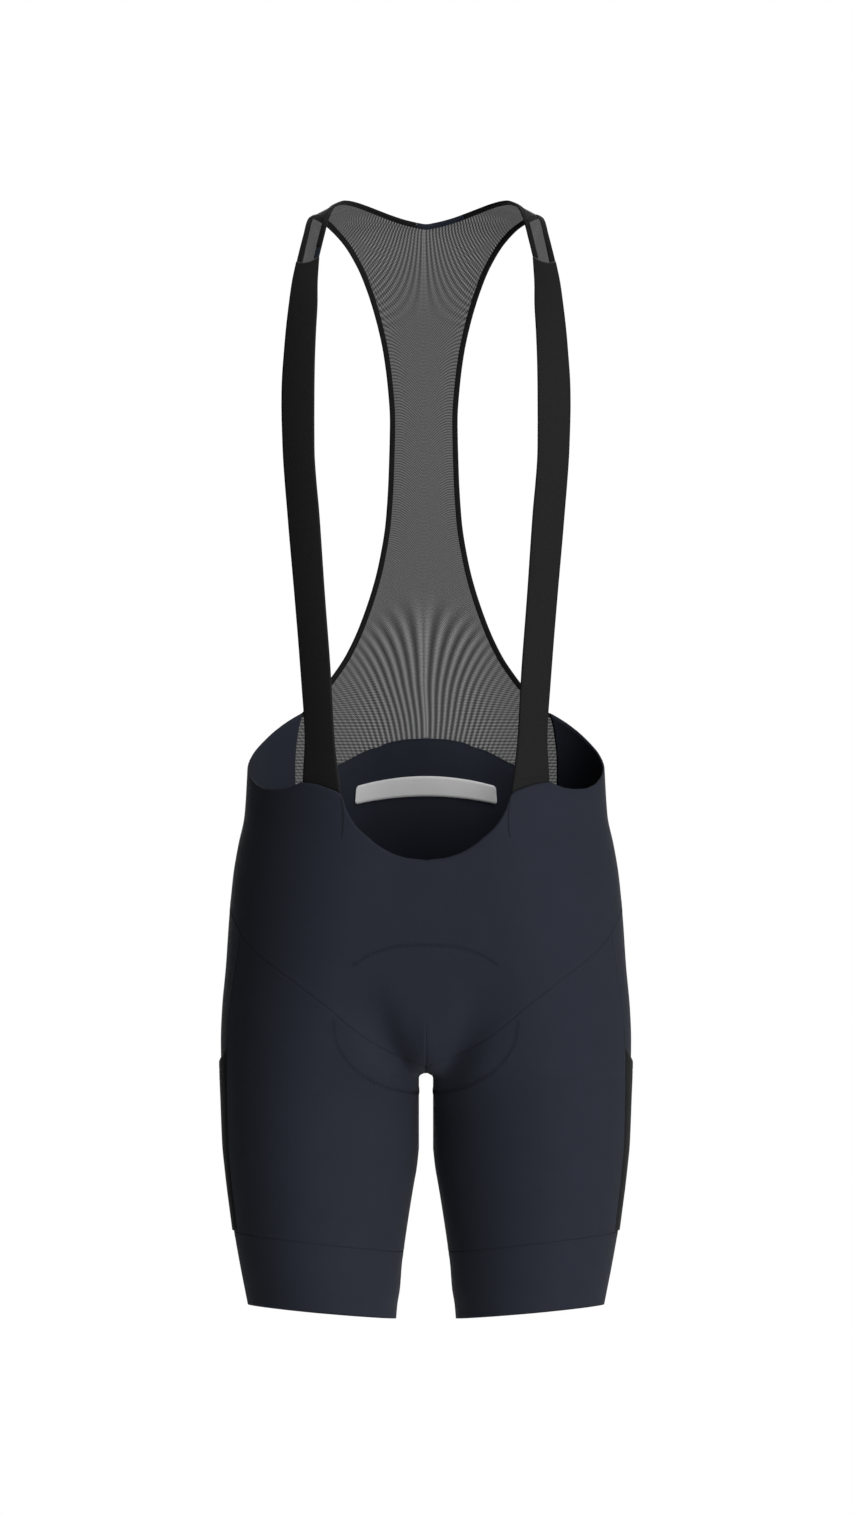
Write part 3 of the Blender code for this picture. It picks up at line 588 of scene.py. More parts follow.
def see_through_net():
    finish = Finish("black see-through net", Roughness=0.7, Specular_IOR_Level=0.1)
    place, across, along, rib = finish.cloth()
    odd = ((along / HOLE_ROW).whole() / 2.0).part()
    a = ((across / HOLE_PITCH + odd).part() - 0.5) * HOLE_PITCH
    b = ((along / HOLE_ROW).part() - 0.5) * HOLE_ROW
    thread = (a * a + b * b).root().ramp(HOLE * 0.8, HOLE * 1.2)
    middle = across.size().ramp(*RIBS_ASIDE, 1.0, 0.30)
    below = along.ramp(*RIBS_LOW, RIB_DEPTH, 0.0)
    above = along.ramp(*RIBS_HIGH, 0.0, RIB_DEPTH) * along.ramp(*RIBS_END, 1.0, 0.0)
    ribs = (rib * turns(1.0)).sine() * (below + above) * middle
    courses = (along * turns(COURSES)).sine() * across.size().ramp(0.015, 0.050, 0.10, 1.0)
    finish.set("Alpha", COVER + thread * THREAD_COVER - ribs - courses * COURSE_COVER)
    speck = finish.noise(place, 1400.0)
    finish.colour(speck + ribs * 2.5, (0.016, 0.016, 0.017), (0.038, 0.038, 0.040))
    finish.bump(thread, 0.0002, 0.5)
    return finish.material


black_net = see_through_net()
print("the net has", round(1e-4 / (HOLE_PITCH * HOLE_ROW)), "holes to the square centimetre")

# %% [markdown]
# ### Elastic, tape, thread and label
#
# Flat woven elastic has fine ribs across it, because its rubber threads pull the weave together. Folded
# tape is a denser narrow knit. The label is a smooth heat transfer, so it has hardly any texture. Thread is
# a twisted yarn.

# %% Narrow goods
CORD = 0.0009
TWIST = 0.0006


def narrow(name, dark, light, rib):
    finish = Finish(name, Roughness=0.65, Specular_IOR_Level=0.10, Sheen_Weight=0.05, Sheen_Roughness=0.4)
    place, across, along, _ = finish.cloth()
    ribs = (along * turns(rib)).sine()
    cords = (across * turns(CORD)).sine()
    speck = finish.noise(place, 1200.0)
    share = 0.5 + ribs * 0.12 + cords * 0.06 + (speck - 0.5) * 0.6
    finish.colour(share, dark, light)
    finish.bump(ribs * 0.6 + cords * 0.3 + speck * 0.4, 0.00012, 0.7)
    return finish.material


def printed_label():
    finish = Finish("grey transfer label", Roughness=0.6, Specular_IOR_Level=0.3)
    place = finish.cloth()[0]
    speck = finish.noise(place, 900.0)
    cloud = finish.noise(place, 60.0)
    finish.colour(0.3 * speck + 0.7 * cloud, (0.86, 0.86, 0.865), (0.93, 0.93, 0.935))
    finish.bump(speck, 0.00006, 0.4)
    return finish.material


def yarn(name, dark, light):
    finish = Finish(name, Roughness=0.6, Specular_IOR_Level=0.3)
    _, across, along, _ = finish.cloth()
    twist = ((along + across * 0.5) * turns(TWIST)).sine()
    finish.colour(0.5 + twist * 0.5, dark, light)
    finish.bump(twist, 0.00005, 0.6)
    return finish.material


black_elastic = narrow("black woven elastic", (0.0105, 0.0105, 0.0110), (0.0175, 0.0175, 0.0183), 0.0012)
black_tape = narrow("black folded tape", (0.0070, 0.0070, 0.0074), (0.0130, 0.0130, 0.0138), 0.0010)
navy_tape = narrow("navy folded tape", (0.0175, 0.0210, 0.0330), (0.0265, 0.0310, 0.0490), 0.0010)
grey_label = printed_label()
navy_thread = yarn("navy thread", (0.0150, 0.0178, 0.0250), (0.0260, 0.0305, 0.0425))
dark_thread = yarn("dark navy thread", (0.0060, 0.0070, 0.0100), (0.0120, 0.0140, 0.0200))
grey_thread = yarn("grey thread", (0.1000, 0.1000, 0.1030), (0.1900, 0.1900, 0.1930))
black_thread = yarn("black thread", (0.0050, 0.0050, 0.0052), (0.0110, 0.0110, 0.0115))
print(len(bpy.data.materials), "finishes")

# %% [markdown]
# ## Front of the body
#
# One panel of navy knit reaches from the low scoop at the belly down to the V, and round to the side seams.
# Both halves are laid from the same lines, the right one turned over. Worn, the cloth is pulled smooth.

# %% The front panel, and creases


def creased(points, side, creases):
    """How far soft creases push the cloth in. Each runs from x, z to x, z, with two depths and a width."""
    x, z = points[..., 0] * side, points[..., 2]
    total = 0 * x
    for x0, z0, x1, z1, depth0, depth1, width in creases:
        run = np.array([x1 - x0, z1 - z0])
        t = ((x - x0) * run[0] + (z - z0) * run[1]) / (run @ run)
        inside = np.clip(t, 0, 1)
        off = np.hypot(x - x0 - run[0] * inside, z - z0 - run[1] * inside)
        total = total - (depth0 + (depth1 - depth0) * inside) * bell(off, width)
    return total


HIPS = -0.56  # a level at which the front, the seat and the sides of the body are measured across
MIDDLE_SEAM = -0.6571  # top of the short seam at the centre front
MIDDLE_END = 0.004  # the length over which it fades in
MIDDLE_DIP = (0.00042, 0.0006)  # depth and half width of its groove
MIDDLE_RIDGE = (0.00018, 0.0016, 0.0009)  # height, distance and half width of the ridge on the wearer's right
front = Stretch(always(0.0), always(SIDE_SEAM), yoke, top_edge, HIPS, ("right", "low"), close=("left",))
aside, height = front.points[..., 0], front.points[..., 2]
shown = np.clip((MIDDLE_SEAM - height) / MIDDLE_END, 0, 1)
dip = -MIDDLE_DIP[0] * bell(aside, MIDDLE_DIP[1]) * shown
ridge = MIDDLE_RIDGE[0] * bell(aside - MIDDLE_RIDGE[1], MIDDLE_RIDGE[2]) * shown
bm = bmesh.new()
for side, _ in SIDES:
    lay(bm, *front.half(side, dip + (ridge if side < 0 else 0)))
front_of_body = hang("front_of_body", bm, navy_knit, "front_panel", KNIT)

# %% [markdown]
# ## Seat
#
# The seat is cut like the front but rises higher: to an arch in the middle, where the net begins, and to a
# pointed wing on each side that ends at the armhole. It is laid as three stretches that share their edges.

# %% The seat
SEAT_FOLDS = [
    (0.020, -0.690, 0.075, -0.672, 0.0022, 0.0006, 0.010),
    (-0.020, -0.690, -0.070, -0.670, 0.0026, 0.0005, 0.011),
    (0.000, -0.560, 0.000, -0.690, 0.0004, 0.0030, 0.013),
]
corner, level = ARCH[0]
bm = bmesh.new()
middle = Stretch(always(corner), always(360.0), yoke, arch, HIPS, ("low", "high"))
outer = Stretch(always(SIDE_SEAM), always(corner), yoke, always(level), HIPS, ("left", "low"))
wing = Stretch(always(SIDE_SEAM), wing_edge, always(level), top_edge, level, ("left",))
for side, _ in SIDES:
    lay(bm, *middle.half(side, creased(middle.points, side, SEAT_FOLDS)))
    lay(bm, *outer.half(side, creased(outer.points, side, SEAT_FOLDS)))
    lay(bm, *wing.half(side))
seat = hang("seat", bm, navy_knit, "back_panel", KNIT)

# %% [markdown]
# ## Legs, side strips and bands
#
# Each leg is one panel that wraps from the front outseam round the inner leg to the back outseam. A long
# strip fills the outer side, and a deep band ends the leg. The two halves of the leg panel meet down the
# inner leg, where they are simply joined, because a seam there would rub.

# %% The leg pieces
THIGH, BAND = -0.74, -0.87  # levels at which the leg and its band are measured across
leg_front = Stretch(always(0.0), front_outseam, band_top, yoke, THIGH, ("right", "low", "high"))
leg_back = Stretch(back_outseam, always(360.0), band_top, yoke, THIGH, ("left", "low", "high"))
strip = Stretch(front_outseam, back_outseam, band_top, yoke, THIGH, ("left", "right", "low", "high"))
band = Stretch(always(0.0), always(360.0), hem, band_top, BAND, ("high",))
LEG_PIECES = {
    "leg": ("leg_", "leg_panel_", leg_front, leg_back),
    "strip": ("side_strip_", "side_panel_", strip),
    "band": ("leg_band_knit_", "leg_band_", band),
}
legs = {}
for side, hand in SIDES:
    for kind, (name, node, *stretches) in LEG_PIECES.items():
        bm = bmesh.new()
        for stretch in stretches:
            lay(bm, *stretch.half(side))
        legs[kind, side] = hang(name + hand, bm, navy_knit, node + hand, KNIT)

# %% [markdown]
# ## Thigh pockets
#
# A pocket of black knit lies over the lower part of each side strip. Its side edges are caught in the
# outseams and its lower edge in the band's seam, so it can only stand away in the middle, most of all at
# its open mouth.

# %% The pockets
POCKET_SEWN = 0.0030  # how near its sewn edges a pocket lies down
POCKET_LOOSE = (0.0003, 0.030, 0.070)  # how far its middle stands off, and how far in and up that is reached
POCKET_HEM = 0.0070  # from the mouth to the groove of its hem
HEM_GROOVE = (0.00035, 0.0009)


def pocket_front(z):
    return front_outseam(z) + 0.5


def pocket_back(z):
    return back_outseam(z) - 0.5


def pocket_low(beta):
    return band_top(beta) + 0.0015


def pocket_stand(beta, z):
    """How far the pocket's outer face stands off the side strip's, least at its sewn edges."""
    edges = [body(edge(z), z) for edge in (pocket_front, pocket_back)]
    aside = np.minimum(*[np.linalg.norm(body(beta, z) - edge, axis=-1) for edge in edges])
    loose, far_in, far_up = POCKET_LOOSE
    up = np.clip((z - pocket_low(beta)) / far_up, 0, 1)
    sewn_down = 1 - np.exp(-aside / POCKET_SEWN)
    return 0.0001 + (SEAM + POCKET) * sewn_down + loose * up * np.clip(aside / far_in, 0, 1) ** 0.8


cloth = Stretch(pocket_front, pocket_back, pocket_low, pocket_mouth, -0.76, close=("left", "right"))
groove = bell(cloth.away["high"] - POCKET_HEM, HEM_GROOVE[1]) * -HEM_GROOVE[0]
for side, hand in SIDES:
    bm = bmesh.new()
    lay(bm, *cloth.half(side, pocket_stand(cloth.beta, cloth.z) + groove))
    name, node = f"thigh_pocket_knit_{hand}", f"thigh_pocket_{hand}"
    legs["pocket", side] = hang(name, bm, black_knit, node, POCKET)

# %% [markdown]
# ## Net back
#
# The net fills a horseshoe round the seat's arch, narrows between the shoulder blades, and widens into a
# yoke over each shoulder. Its rows are known: level ones on the body up to the neckline, then tilted ones
# across each yoke. The rows are made close by a smooth curve through each column, as a sculptor would lay
# clay between the ribs of a frame.

# %% Rows of the back
WAIST_ROW = -0.4128
# z, half: the net's half width to the finished edge
ARMHOLE = table(
    (-0.4085, 0.1033), (-0.395, 0.0912), (-0.3816, 0.08), (-0.3588, 0.0649), (-0.3302, 0.0521),
    (-0.2881, 0.0391), (-0.246, 0.032), (-0.2038, 0.0295), (-0.1617, 0.0286), (-0.1198, 0.032),
    (-0.0989, 0.0353), (-0.0782, 0.0403), (-0.0575, 0.0466), (-0.0372, 0.0549),
)
FAN = ((-0.0780, -0.0860), (-0.0520, -0.0690), (-0.0255, -0.0525))  # z on the middle line and on the armhole
# neckline x, y, z, then armhole x, y, z, then how far the row between them bows out
SHOULDER = table(
    (0, 0.08, 0.0005, 0.0549, 0.0853, -0.0372, 0.0017),
    (0.0134, 0.0785, 0.0028, 0.0605, 0.0812, -0.027, 0.0018),
    (0.0317, 0.073, 0.0081, 0.067, 0.076, -0.0175, 0.0024),
    (0.0499, 0.059, 0.0136, 0.0745, 0.0685, -0.0095, 0.0026),
    (0.0637, 0.037, 0.015, 0.0815, 0.0555, -0.0043, 0.002),
    (0.0705, 0.019, 0.012, 0.0885, 0.04, -0.0012, 0.0012),
    (0.075, 0.003, 0.0074, 0.0945, 0.02, -0.0008, 0.0006),
    (0.0773, -0.01, 0.0017, 0.0977, -0.001, -0.0064, 0.0005),
    (0.0802, -0.028, -0.0088, 0.0995, -0.022, -0.0176, 0.0004),
    (0.0828, -0.042, -0.0226, 0.1019, -0.04, -0.03, 0.0004),
    (0.0863, -0.056, -0.0398, 0.1047, -0.054, -0.0441, 0.0004),
)
SWAY = -0.0019  # how far the net hangs to one side
STRAP_DIP = 0.0030  # of the seam at the top of a front strap


def back_beta(x, z):
    """Where on the back the body is at this distance from the middle."""
    out, mid = smooth(SECTIONS, 1, z), smooth(SECTIONS, 2, z)
    c = np.where(x < mid, 1 - x / mid, (mid - x) / (out - mid))
    return 360 - np.degrees(np.arccos(np.clip(c, -1, 1)))


def level_row(z_in, z_out=None):
    """A row across the back, as a function of the share t from the middle line to the armhole."""
    z_out = z_in if z_out is None else z_out
    half = smooth(ARMHOLE, 1, z_out)

    def place(t):
        t = np.asarray(t, float)
        z = z_in + (z_out - z_in) * t
        return body(back_beta(half * t, z), z)

    return place


def through(rows, at):
    """A row of a table at a fraction of a row, on a round curve."""
    tangent = np.gradient(rows, axis=0)
    i = min(int(at), len(rows) - 2)
    return curve(rows[i], rows[i + 1], tangent[i], tangent[i + 1], at - i)


def shoulder_row(at):
    """A row over the shoulder, at a fraction of a row of the table."""
    row = through(SHOULDER, at)
    inner, outer = row[:3], row[3:6]
    step = 0.02 if at < len(SHOULDER) - 1 else -0.02
    ahead = (through(SHOULDER, at + step)[3:6] - outer) * math.copysign(1, step)
    bow = unit(np.cross(inner - outer, ahead)) * row[6]

    def place(t):
        t = np.asarray(t, float)[..., None]
        return inner + (outer - inner) * t + bow * 4 * t * (1 - t)

    return place


LEVELS = [*np.linspace(-0.4085, -0.3302, 8), *np.linspace(-0.3302, -0.1000, 13)[1:]]
BACK_ROWS = [level_row(z) for z in LEVELS] + [level_row(a, b) for a, b in FAN]
SHOULDER_ROWS = [shoulder_row(at) for at in np.linspace(0, len(SHOULDER) - 1, 17)]
ALL_ROWS = BACK_ROWS + SHOULDER_ROWS


def flowing(rows, step, s=None, corner=None):
    """Rows of points made close by a smooth curve through each column, and how far along each row lies.

    At the row called corner the inner columns turn sharply, as at the middle of a neckline.
    """
    if s is None:
        gaps = np.linalg.norm(np.diff(rows[..., :3], axis=0), axis=-1).mean(axis=-1)
        s = np.concatenate([[0], np.cumsum(gaps)])
    arriving = np.gradient(rows, s, axis=0)
    leaving = arriving.copy()
    if corner:
        sharp = np.clip(1 - 2.2 * np.linspace(0, 1, rows.shape[1]), 0, 1)[:, None]
        for slope, a, b in ((arriving, corner - 1, corner), (leaving, corner, corner + 1)):
            one_side = (rows[b] - rows[a]) / (s[b] - s[a])
            slope[corner] = one_side * sharp + slope[corner] * (1 - sharp)
    inner = np.linspace(0, s[-1], round(s[-1] / step) + 1)
    at = np.unique(np.append(inner, s[corner])) if corner else inner
    i = np.clip(np.searchsorted(s, at) - 1, 0, len(s) - 2)
    h = (s[i + 1] - s[i])[:, None, None]
    t = (at - s[i])[:, None, None] / h
    return curve(rows[i], rows[i + 1], leaving[i] * h, arriving[i + 1] * h, t), at


def edge_frames(rows, end):
    """Along one edge of the rows, 0 the inner and 1 the outer: points, directions into the cloth, normals."""
    frames = []
    for i, row in enumerate(rows):
        along = rows[min(i + 1, len(rows) - 1)](end) - rows[max(i - 1, 0)](end)
        across = row(abs(end - 0.08)) - row(end)
        if end == 0 and i == 0:
            along = along * (1, 0, 0)
        normal = unit(np.cross(along, across) if end == 0 else np.cross(across, along))
        into = unit(np.cross(along, normal))
        frames.append((row(end), into if into @ across > 0 else -into, normal))
    return np.array(frames)


def swayed(points):
    """The net hangs a little to the wearer's right between the shoulders and the waist."""
    z, y = points[..., 2], points[..., 1]
    t = np.clip((0.004 - z) / 0.012, 0, 1) * np.clip((z + 0.42) / 0.04, 0, 1) * np.clip(y / 0.05, 0, 1)
    moved = points.copy()
    moved[..., 0] += SWAY * t * t * (3 - 2 * t)
    return moved


def dipped(points, t, rows_from_end):
    """The last rows over the shoulder follow the dip of the seam at the top of the front strap."""
    share = np.clip(1 - rows_from_end / 4, 0, 1)
    down = np.zeros(points.shape)
    down[..., 2] = STRAP_DIP * share * 4 * t * (1 - t)
    return points - down


ARM_FRAMES = edge_frames(ALL_ROWS, 1)
wing_corner = body(wing_edge(WAIST_ROW) + 0.3, WAIST_ROW)
ARM_FRAMES[0, 1] = unit(wing_corner - ARM_FRAMES[0, 0])
NECK_FRAMES = edge_frames(SHOULDER_ROWS, 0)
print("one armhole is", round(float(run_length(ARM_FRAMES[:, 0])[-1]), 3), "m of tape")

# %% The net's lower part, lapped over the seat
LAP = 0.0026  # how far the net lies over the seat, on its outer side
LAP_TURN = 1.9  # the same along the short upright seams, as beta
LAP_SIDE = 0.0019  # and as a length
LAP_SLOPE = 0.0030  # the width over which the net climbs on to the seat
base = Stretch(
    lambda z: wing_edge(z) - LAP_TURN,
    always(360.0),
    lambda b: arch(b) - LAP,
    always(WAIST_ROW),
    WAIST_ROW,
    ("left", "low"),
)
inside_lap = np.minimum(base.away["low"] - LAP * SLANT, base.away["left"] - LAP_SIDE)
base.relief = (NET + SEAM) * np.clip(0.5 - inside_lap / LAP_SLOPE, 0, 1)
base_points, base_flat = base.half(1)
base_flat = base_flat * MIRROR + (float(girth(360, WAIST_ROW)), 0, 0)
print("the net's lower part is", round(float(base_points[..., 0].max()) * 2, 3), "m wide")

# %% The net's upper part, from the waist to the front straps
HEM_IN = BINDING_WIDTH * 0.6  # how far inside the finished edge the net itself ends
NECK_ROW = len(BACK_ROWS)
waist_line = base_points[::-1, -1]
t_across = waist_line[:, 0] / waist_line[-1, 0]
rows = [waist_line]
for i, row in enumerate(ALL_ROWS[1:], 1):
    reach = np.linalg.norm(row(1.0) - row(0.0))
    t_out = 1 - HEM_IN / reach
    p, into, _ = ARM_FRAMES[i]
    lean = p + into * HEM_IN - row(t_out)
    if i < NECK_ROW:
        points = row(t_across * t_out) + lean * t_across[:, None]
    else:
        t_in = HEM_IN / reach
        q, into, _ = NECK_FRAMES[i - NECK_ROW]
        points = row(t_in + (t_out - t_in) * t_across) + lean * t_across[:, None]
        points = points + (q + into * HEM_IN - row(t_in)) * (1 - t_across)[:, None]
    rows.append(dipped(points, 0.13 + 0.74 * t_across, len(ALL_ROWS) - 1 - i))
upper, _ = flowing(np.array(rows), STEP, corner=NECK_ROW)
print("the net's upper part has", upper.shape[0], "rows of", upper.shape[1])


def unrolled(points):
    """Flat coordinates of a band of rows, each row measured across and each column measured up."""
    across = np.linalg.norm(np.diff(points, axis=1), axis=-1)
    up = np.linalg.norm(np.diff(points, axis=0), axis=-1)
    across = np.concatenate([np.zeros((len(points), 1)), np.cumsum(across, axis=1)], axis=1)
    up = np.concatenate([np.zeros((1, points.shape[1])), np.cumsum(up, axis=0)], axis=0)
    return np.stack([across, up, 0 * up], axis=-1)


# %% Ribs of the net
# z where the ribs have spread out, and their spacing times the distance from it, for the waist and the neck
LOW_SPREAD = (-0.288, 6.07e-4)
HIGH_SPREAD = (-0.088, 2.2e-4)


def rib_number(points):
    """Which rib a point is on. They are upright and close in the middle, and bend outward from there."""
    x, z = points[..., 0], points[..., 2]
    below = np.maximum(LOW_SPREAD[0] - z, 0) / LOW_SPREAD[1]
    above = np.maximum(z - HIGH_SPREAD[0], 0) / HIGH_SPREAD[1]
    return x * (below + above)


upper_flat = unrolled(upper)
upper_flat[..., 1] += WAIST_ROW
stretches = ((base_points[::-1], base_flat[::-1]), (np.swapaxes(upper, 0, 1), np.swapaxes(upper_flat, 0, 1)))
bm = bmesh.new()
for points, flat in stretches:
    flat[..., 2] = rib_number(points)
    lay(bm, swayed(points[::-1]), flat[::-1])
    lay(bm, swayed(points * MIRROR), flat * MIRROR)
net_back = hang("net_back", bm, black_net, "back_net", NET)

# %% [markdown]
# ## Taped edges
#
# The armholes and the neckline are bound with a folded tape: one layer in front, one behind, and the net's
# raw edge between them. The tape is modelled as what it is, a closed flat section with a round fold on the
# outer side, drawn along the edge. The neckline's tape is black but for two short navy lengths.

# %% The tape's section
TAPE_WIDTH = BINDING_WIDTH + 0.0008  # it lies flatter than its solid, so it is a little wider
TAPE_STEP = 0.0016


def tape_section(width, thick, count=14):
    """Places round a folded tape, into and out of the cloth, from its inner front edge back to there."""
    r = thick / 2
    turn = np.linspace(0, math.pi, count)
    fold = np.stack([r * 0.8 * (1 - np.sin(turn)), r * np.cos(turn)], axis=-1)
    front = [(width, r * 0.55), (width * 0.93, r * 0.95), (width * 0.76, r * 0.80), (width * 0.60, r * 1.0)]
    back = [(a, -b) for a, b in front[::-1]]
    return np.array([*front, *fold, *back, front[0]])


def tape(frames, dip_ends):
    """Points of a tape along an edge's frames, dipped at the named ends, and its flat coordinates."""
    rows_from_end = np.full(len(frames), 99.0)
    number = np.arange(len(frames))
    if "last" in dip_ends:
        rows_from_end = np.minimum(rows_from_end, number[::-1])
    if "first" in dip_ends:
        rows_from_end = np.minimum(rows_from_end, number)
    s = run_length(frames[:, 0])
    fine, at = flowing(frames, TAPE_STEP, s)
    left = np.interp(at, s, rows_from_end)
    section = tape_section(TAPE_WIDTH, BINDING)
    p, into, normal = fine[:, 0], unit(fine[:, 1]), unit(fine[:, 2])
    wide, thick = section[None, :, :1], section[None, :, 1:] - NET / 2
    points = p[:, None] + into[:, None] * wide + normal[:, None] * thick
    inside = section[:, 0] / TAPE_WIDTH
    points = dipped(points, 0.2 * inside[None, :] + 0 * left[:, None], left[:, None])
    flat = np.stack(np.broadcast_arrays(run_length(section)[None, :], at[:, None], 0.0), axis=-1)
    return points, flat


def mirrored(points, flat, side):
    return (points, flat) if side > 0 else (points[::-1] * MIRROR, flat)


print("the tape has", len(tape_section(TAPE_WIDTH, BINDING)) - 1, "faces round it")


# %% Armhole tapes
for side, hand in SIDES:
    bm = bmesh.new()
    points, flat = mirrored(*tape(ARM_FRAMES, ("last",)), side)
    lay(bm, swayed(points), flat)
    name, node = f"armhole_tape_{hand}", f"armhole_binding_{hand}"
    hang(name, bm, black_tape, node)

# %% Neck tapes
NAVY_BACK = (-0.0075, 0.0310)  # x of both ends of the navy length behind the neck
NAVY_END = 0.0105  # length of the one at the foot of the right shoulder
NECK_PATH = np.concatenate([NECK_FRAMES[:0:-1] * MIRROR, NECK_FRAMES])
NECK_AT = run_length(NECK_PATH[:, 0])
middle = slice(len(NECK_AT) // 2 - 6, len(NECK_AT) // 2 + 7)
NAVY_FROM, NAVY_TO = np.interp(NAVY_BACK, NECK_PATH[middle, 0, 0], NECK_AT[middle]).tolist()


def neck_piece(start, stop):
    """The neckline's frames between two distances along it, half a seam short of each join."""
    start, stop = start + SEAM / 2 * (start > 0), stop - SEAM / 2 * (stop < NECK_AT[-1])
    at = np.array([start, *[a for a in NECK_AT if start + 0.001 < a < stop - 0.001], stop])
    numbers = NECK_PATH.reshape(len(NECK_PATH), 9)
    return np.column_stack([np.interp(at, NECK_AT, column) for column in numbers.T]).reshape(len(at), 3, 3)


NECK_PIECES = (
    ("navy_end", 0.0, NAVY_END, navy_tape, ("first",)),
    ("right", NAVY_END, NAVY_FROM, black_tape, ()),
    ("navy_back", NAVY_FROM, NAVY_TO, navy_tape, ()),
    ("left", NAVY_TO, float(NECK_AT[-1]), black_tape, ("last",)),
)
for part, start, stop, cloth, dips in NECK_PIECES:
    bm = bmesh.new()
    lay(bm, *tape(neck_piece(start, stop), dips))
    slot = "navy_binding" if cloth is navy_tape else "black_binding"
    hang(f"neck_tape_{part}", bm, cloth, f"neck_binding_{part}")

# %% [markdown]
# ## Front straps
#
# Each strap is a flat woven elastic, sewn at its top to the yoke and at its foot to the waist edge. It lies
# flat on the chest, so it is a narrow sheet through a table of heights, with its foot on the body's round.

# %% The straps
# z, inner x, outer x, inner y, outer y of a front strap, from its top seam to just above its foot
STRAP = table(
    (-0.0398, 0.0863, 0.104, -0.056, -0.0505),
    (-0.0529, 0.0872, 0.1068, -0.0655, -0.0615),
    (-0.078, 0.0872, 0.1101, -0.083, -0.076),
    (-0.1159, 0.0887, 0.1135, -0.103, -0.094),
    (-0.1569, 0.0892, 0.1155, -0.116, -0.106),
    (-0.1971, 0.0891, 0.1145, -0.121, -0.111),
    (-0.2567, 0.0848, 0.1102, -0.12, -0.11),
    (-0.3162, 0.0809, 0.1052, -0.114, -0.104),
    (-0.3758, 0.0766, 0.1006, -0.108, -0.097),
    (-0.4325, 0.0735, 0.0974, -0.101, -0.089),
    (-0.4549, 0.0711, 0.0986, -0.0985, -0.0855),
)
CAUGHT = 0.0012  # how much of a strap's foot is behind the cut edge of the front
STRAP_BOW = 0.004  # how far a strap bows out across its width
u = np.linspace(0, 1, 19)


def strap_foot(u):
    beta = STRAP_IN + (STRAP_OUT - STRAP_IN) * u
    z = top_edge(beta) - CAUGHT
    return body(beta, z) - outward(beta, z) * (KNIT + 0.0001)


def strap_across(u, z):
    x_in, x_out, y_in, y_out = (smooth(STRAP, k, z) for k in (1, 2, 3, 4))
    y = y_in + (y_out - y_in) * u - STRAP_BOW * u * (1 - u)
    return np.stack([x_in + (x_out - x_in) * u, y, z + 0 * u], axis=-1)


heights = np.linspace(STRAP[-1, 0], -0.0610, 20)
top = SHOULDER[-1, 2] + (SHOULDER[-1, 5] - SHOULDER[-1, 2]) * u
rows = [strap_foot(u), strap_foot(u) * 0.45 + strap_across(u, heights[0]) * 0.55]
rows += [strap_across(u, z) for z in heights]
rows.append(strap_across(u, top - STRAP_DIP * 4 * u * (1 - u) - 1.5 * SEAM))
strap_rows, _ = flowing(np.array(rows), STEP)
strap_points = np.swapaxes(strap_rows, 0, 1)
strap_flat = np.swapaxes(unrolled(strap_rows), 0, 1)
straps = {}
for side, hand in SIDES:
    bm = bmesh.new()
    lay(bm, *mirrored(strap_points, strap_flat, side))
    name, node = f"elastic_strap_{hand}", f"front_strap_{hand}"
    straps[side] = hang(name, bm, black_elastic, node, ELASTIC)

# %% [markdown]
# ## Size label
#
# A smooth grey transfer inside the centre back, with rounded corners and nothing printed on it.

# %% The label
LABEL_TOP = (-0.4612, 0.0084)  # z of an edge in the middle, and how much lower it is at its ends
LABEL_LOW = (-0.4780, 0.0068)
LABEL_HALF = 0.0590
LABEL_LEVEL = -0.4720
LABEL_ROUND = 0.0025


def rounding(beta):
    """How much a rounded corner takes off the label's height."""
    past = np.clip(LABEL_ROUND - LABEL_HALF + body(beta, LABEL_LEVEL)[..., 0], 0, LABEL_ROUND)
    return LABEL_ROUND - np.sqrt(np.maximum(LABEL_ROUND**2 - past**2, 0))


def label_edge(edge, beta):
    level, drop = edge
    return level - drop * (body(beta, LABEL_LEVEL)[..., 0] / LABEL_HALF) ** 2


print_area = Stretch(
    always(float(back_beta(LABEL_HALF, LABEL_LEVEL))),
    always(360.0),
    lambda b: label_edge(LABEL_LOW, b) + rounding(b),
    lambda b: label_edge(LABEL_TOP, b) - rounding(b),
    LABEL_LEVEL,
    step=0.002,
    close=("left",),
)
bm = bmesh.new()
for side, _ in SIDES:
    lay(bm, *print_area.half(side, -KNIT - SEAM))
label = hang("grey_size_label", bm, grey_label, "size_label", LABEL)

# %% [markdown]
# ## Stitches
#
# The flat seams of cycling shorts are sewn with a fine zigzag that lies over the join, so that nothing
# rubs. The pad inside is held by a coarser zigzag that shows through as arcs, and hems have plain straight
# stitches. A thread is a thin round yarn drawn along a path: it swings to each side for a zigzag, and dips
# into the cloth at every needle hole. A bump in the material would look the same from far away, but these
# also hold up close and along an edge.

# %% A thread along a path on the cloth
STITCH_POINTS = 6  # places along one stitch
YARN_ROUND = 6


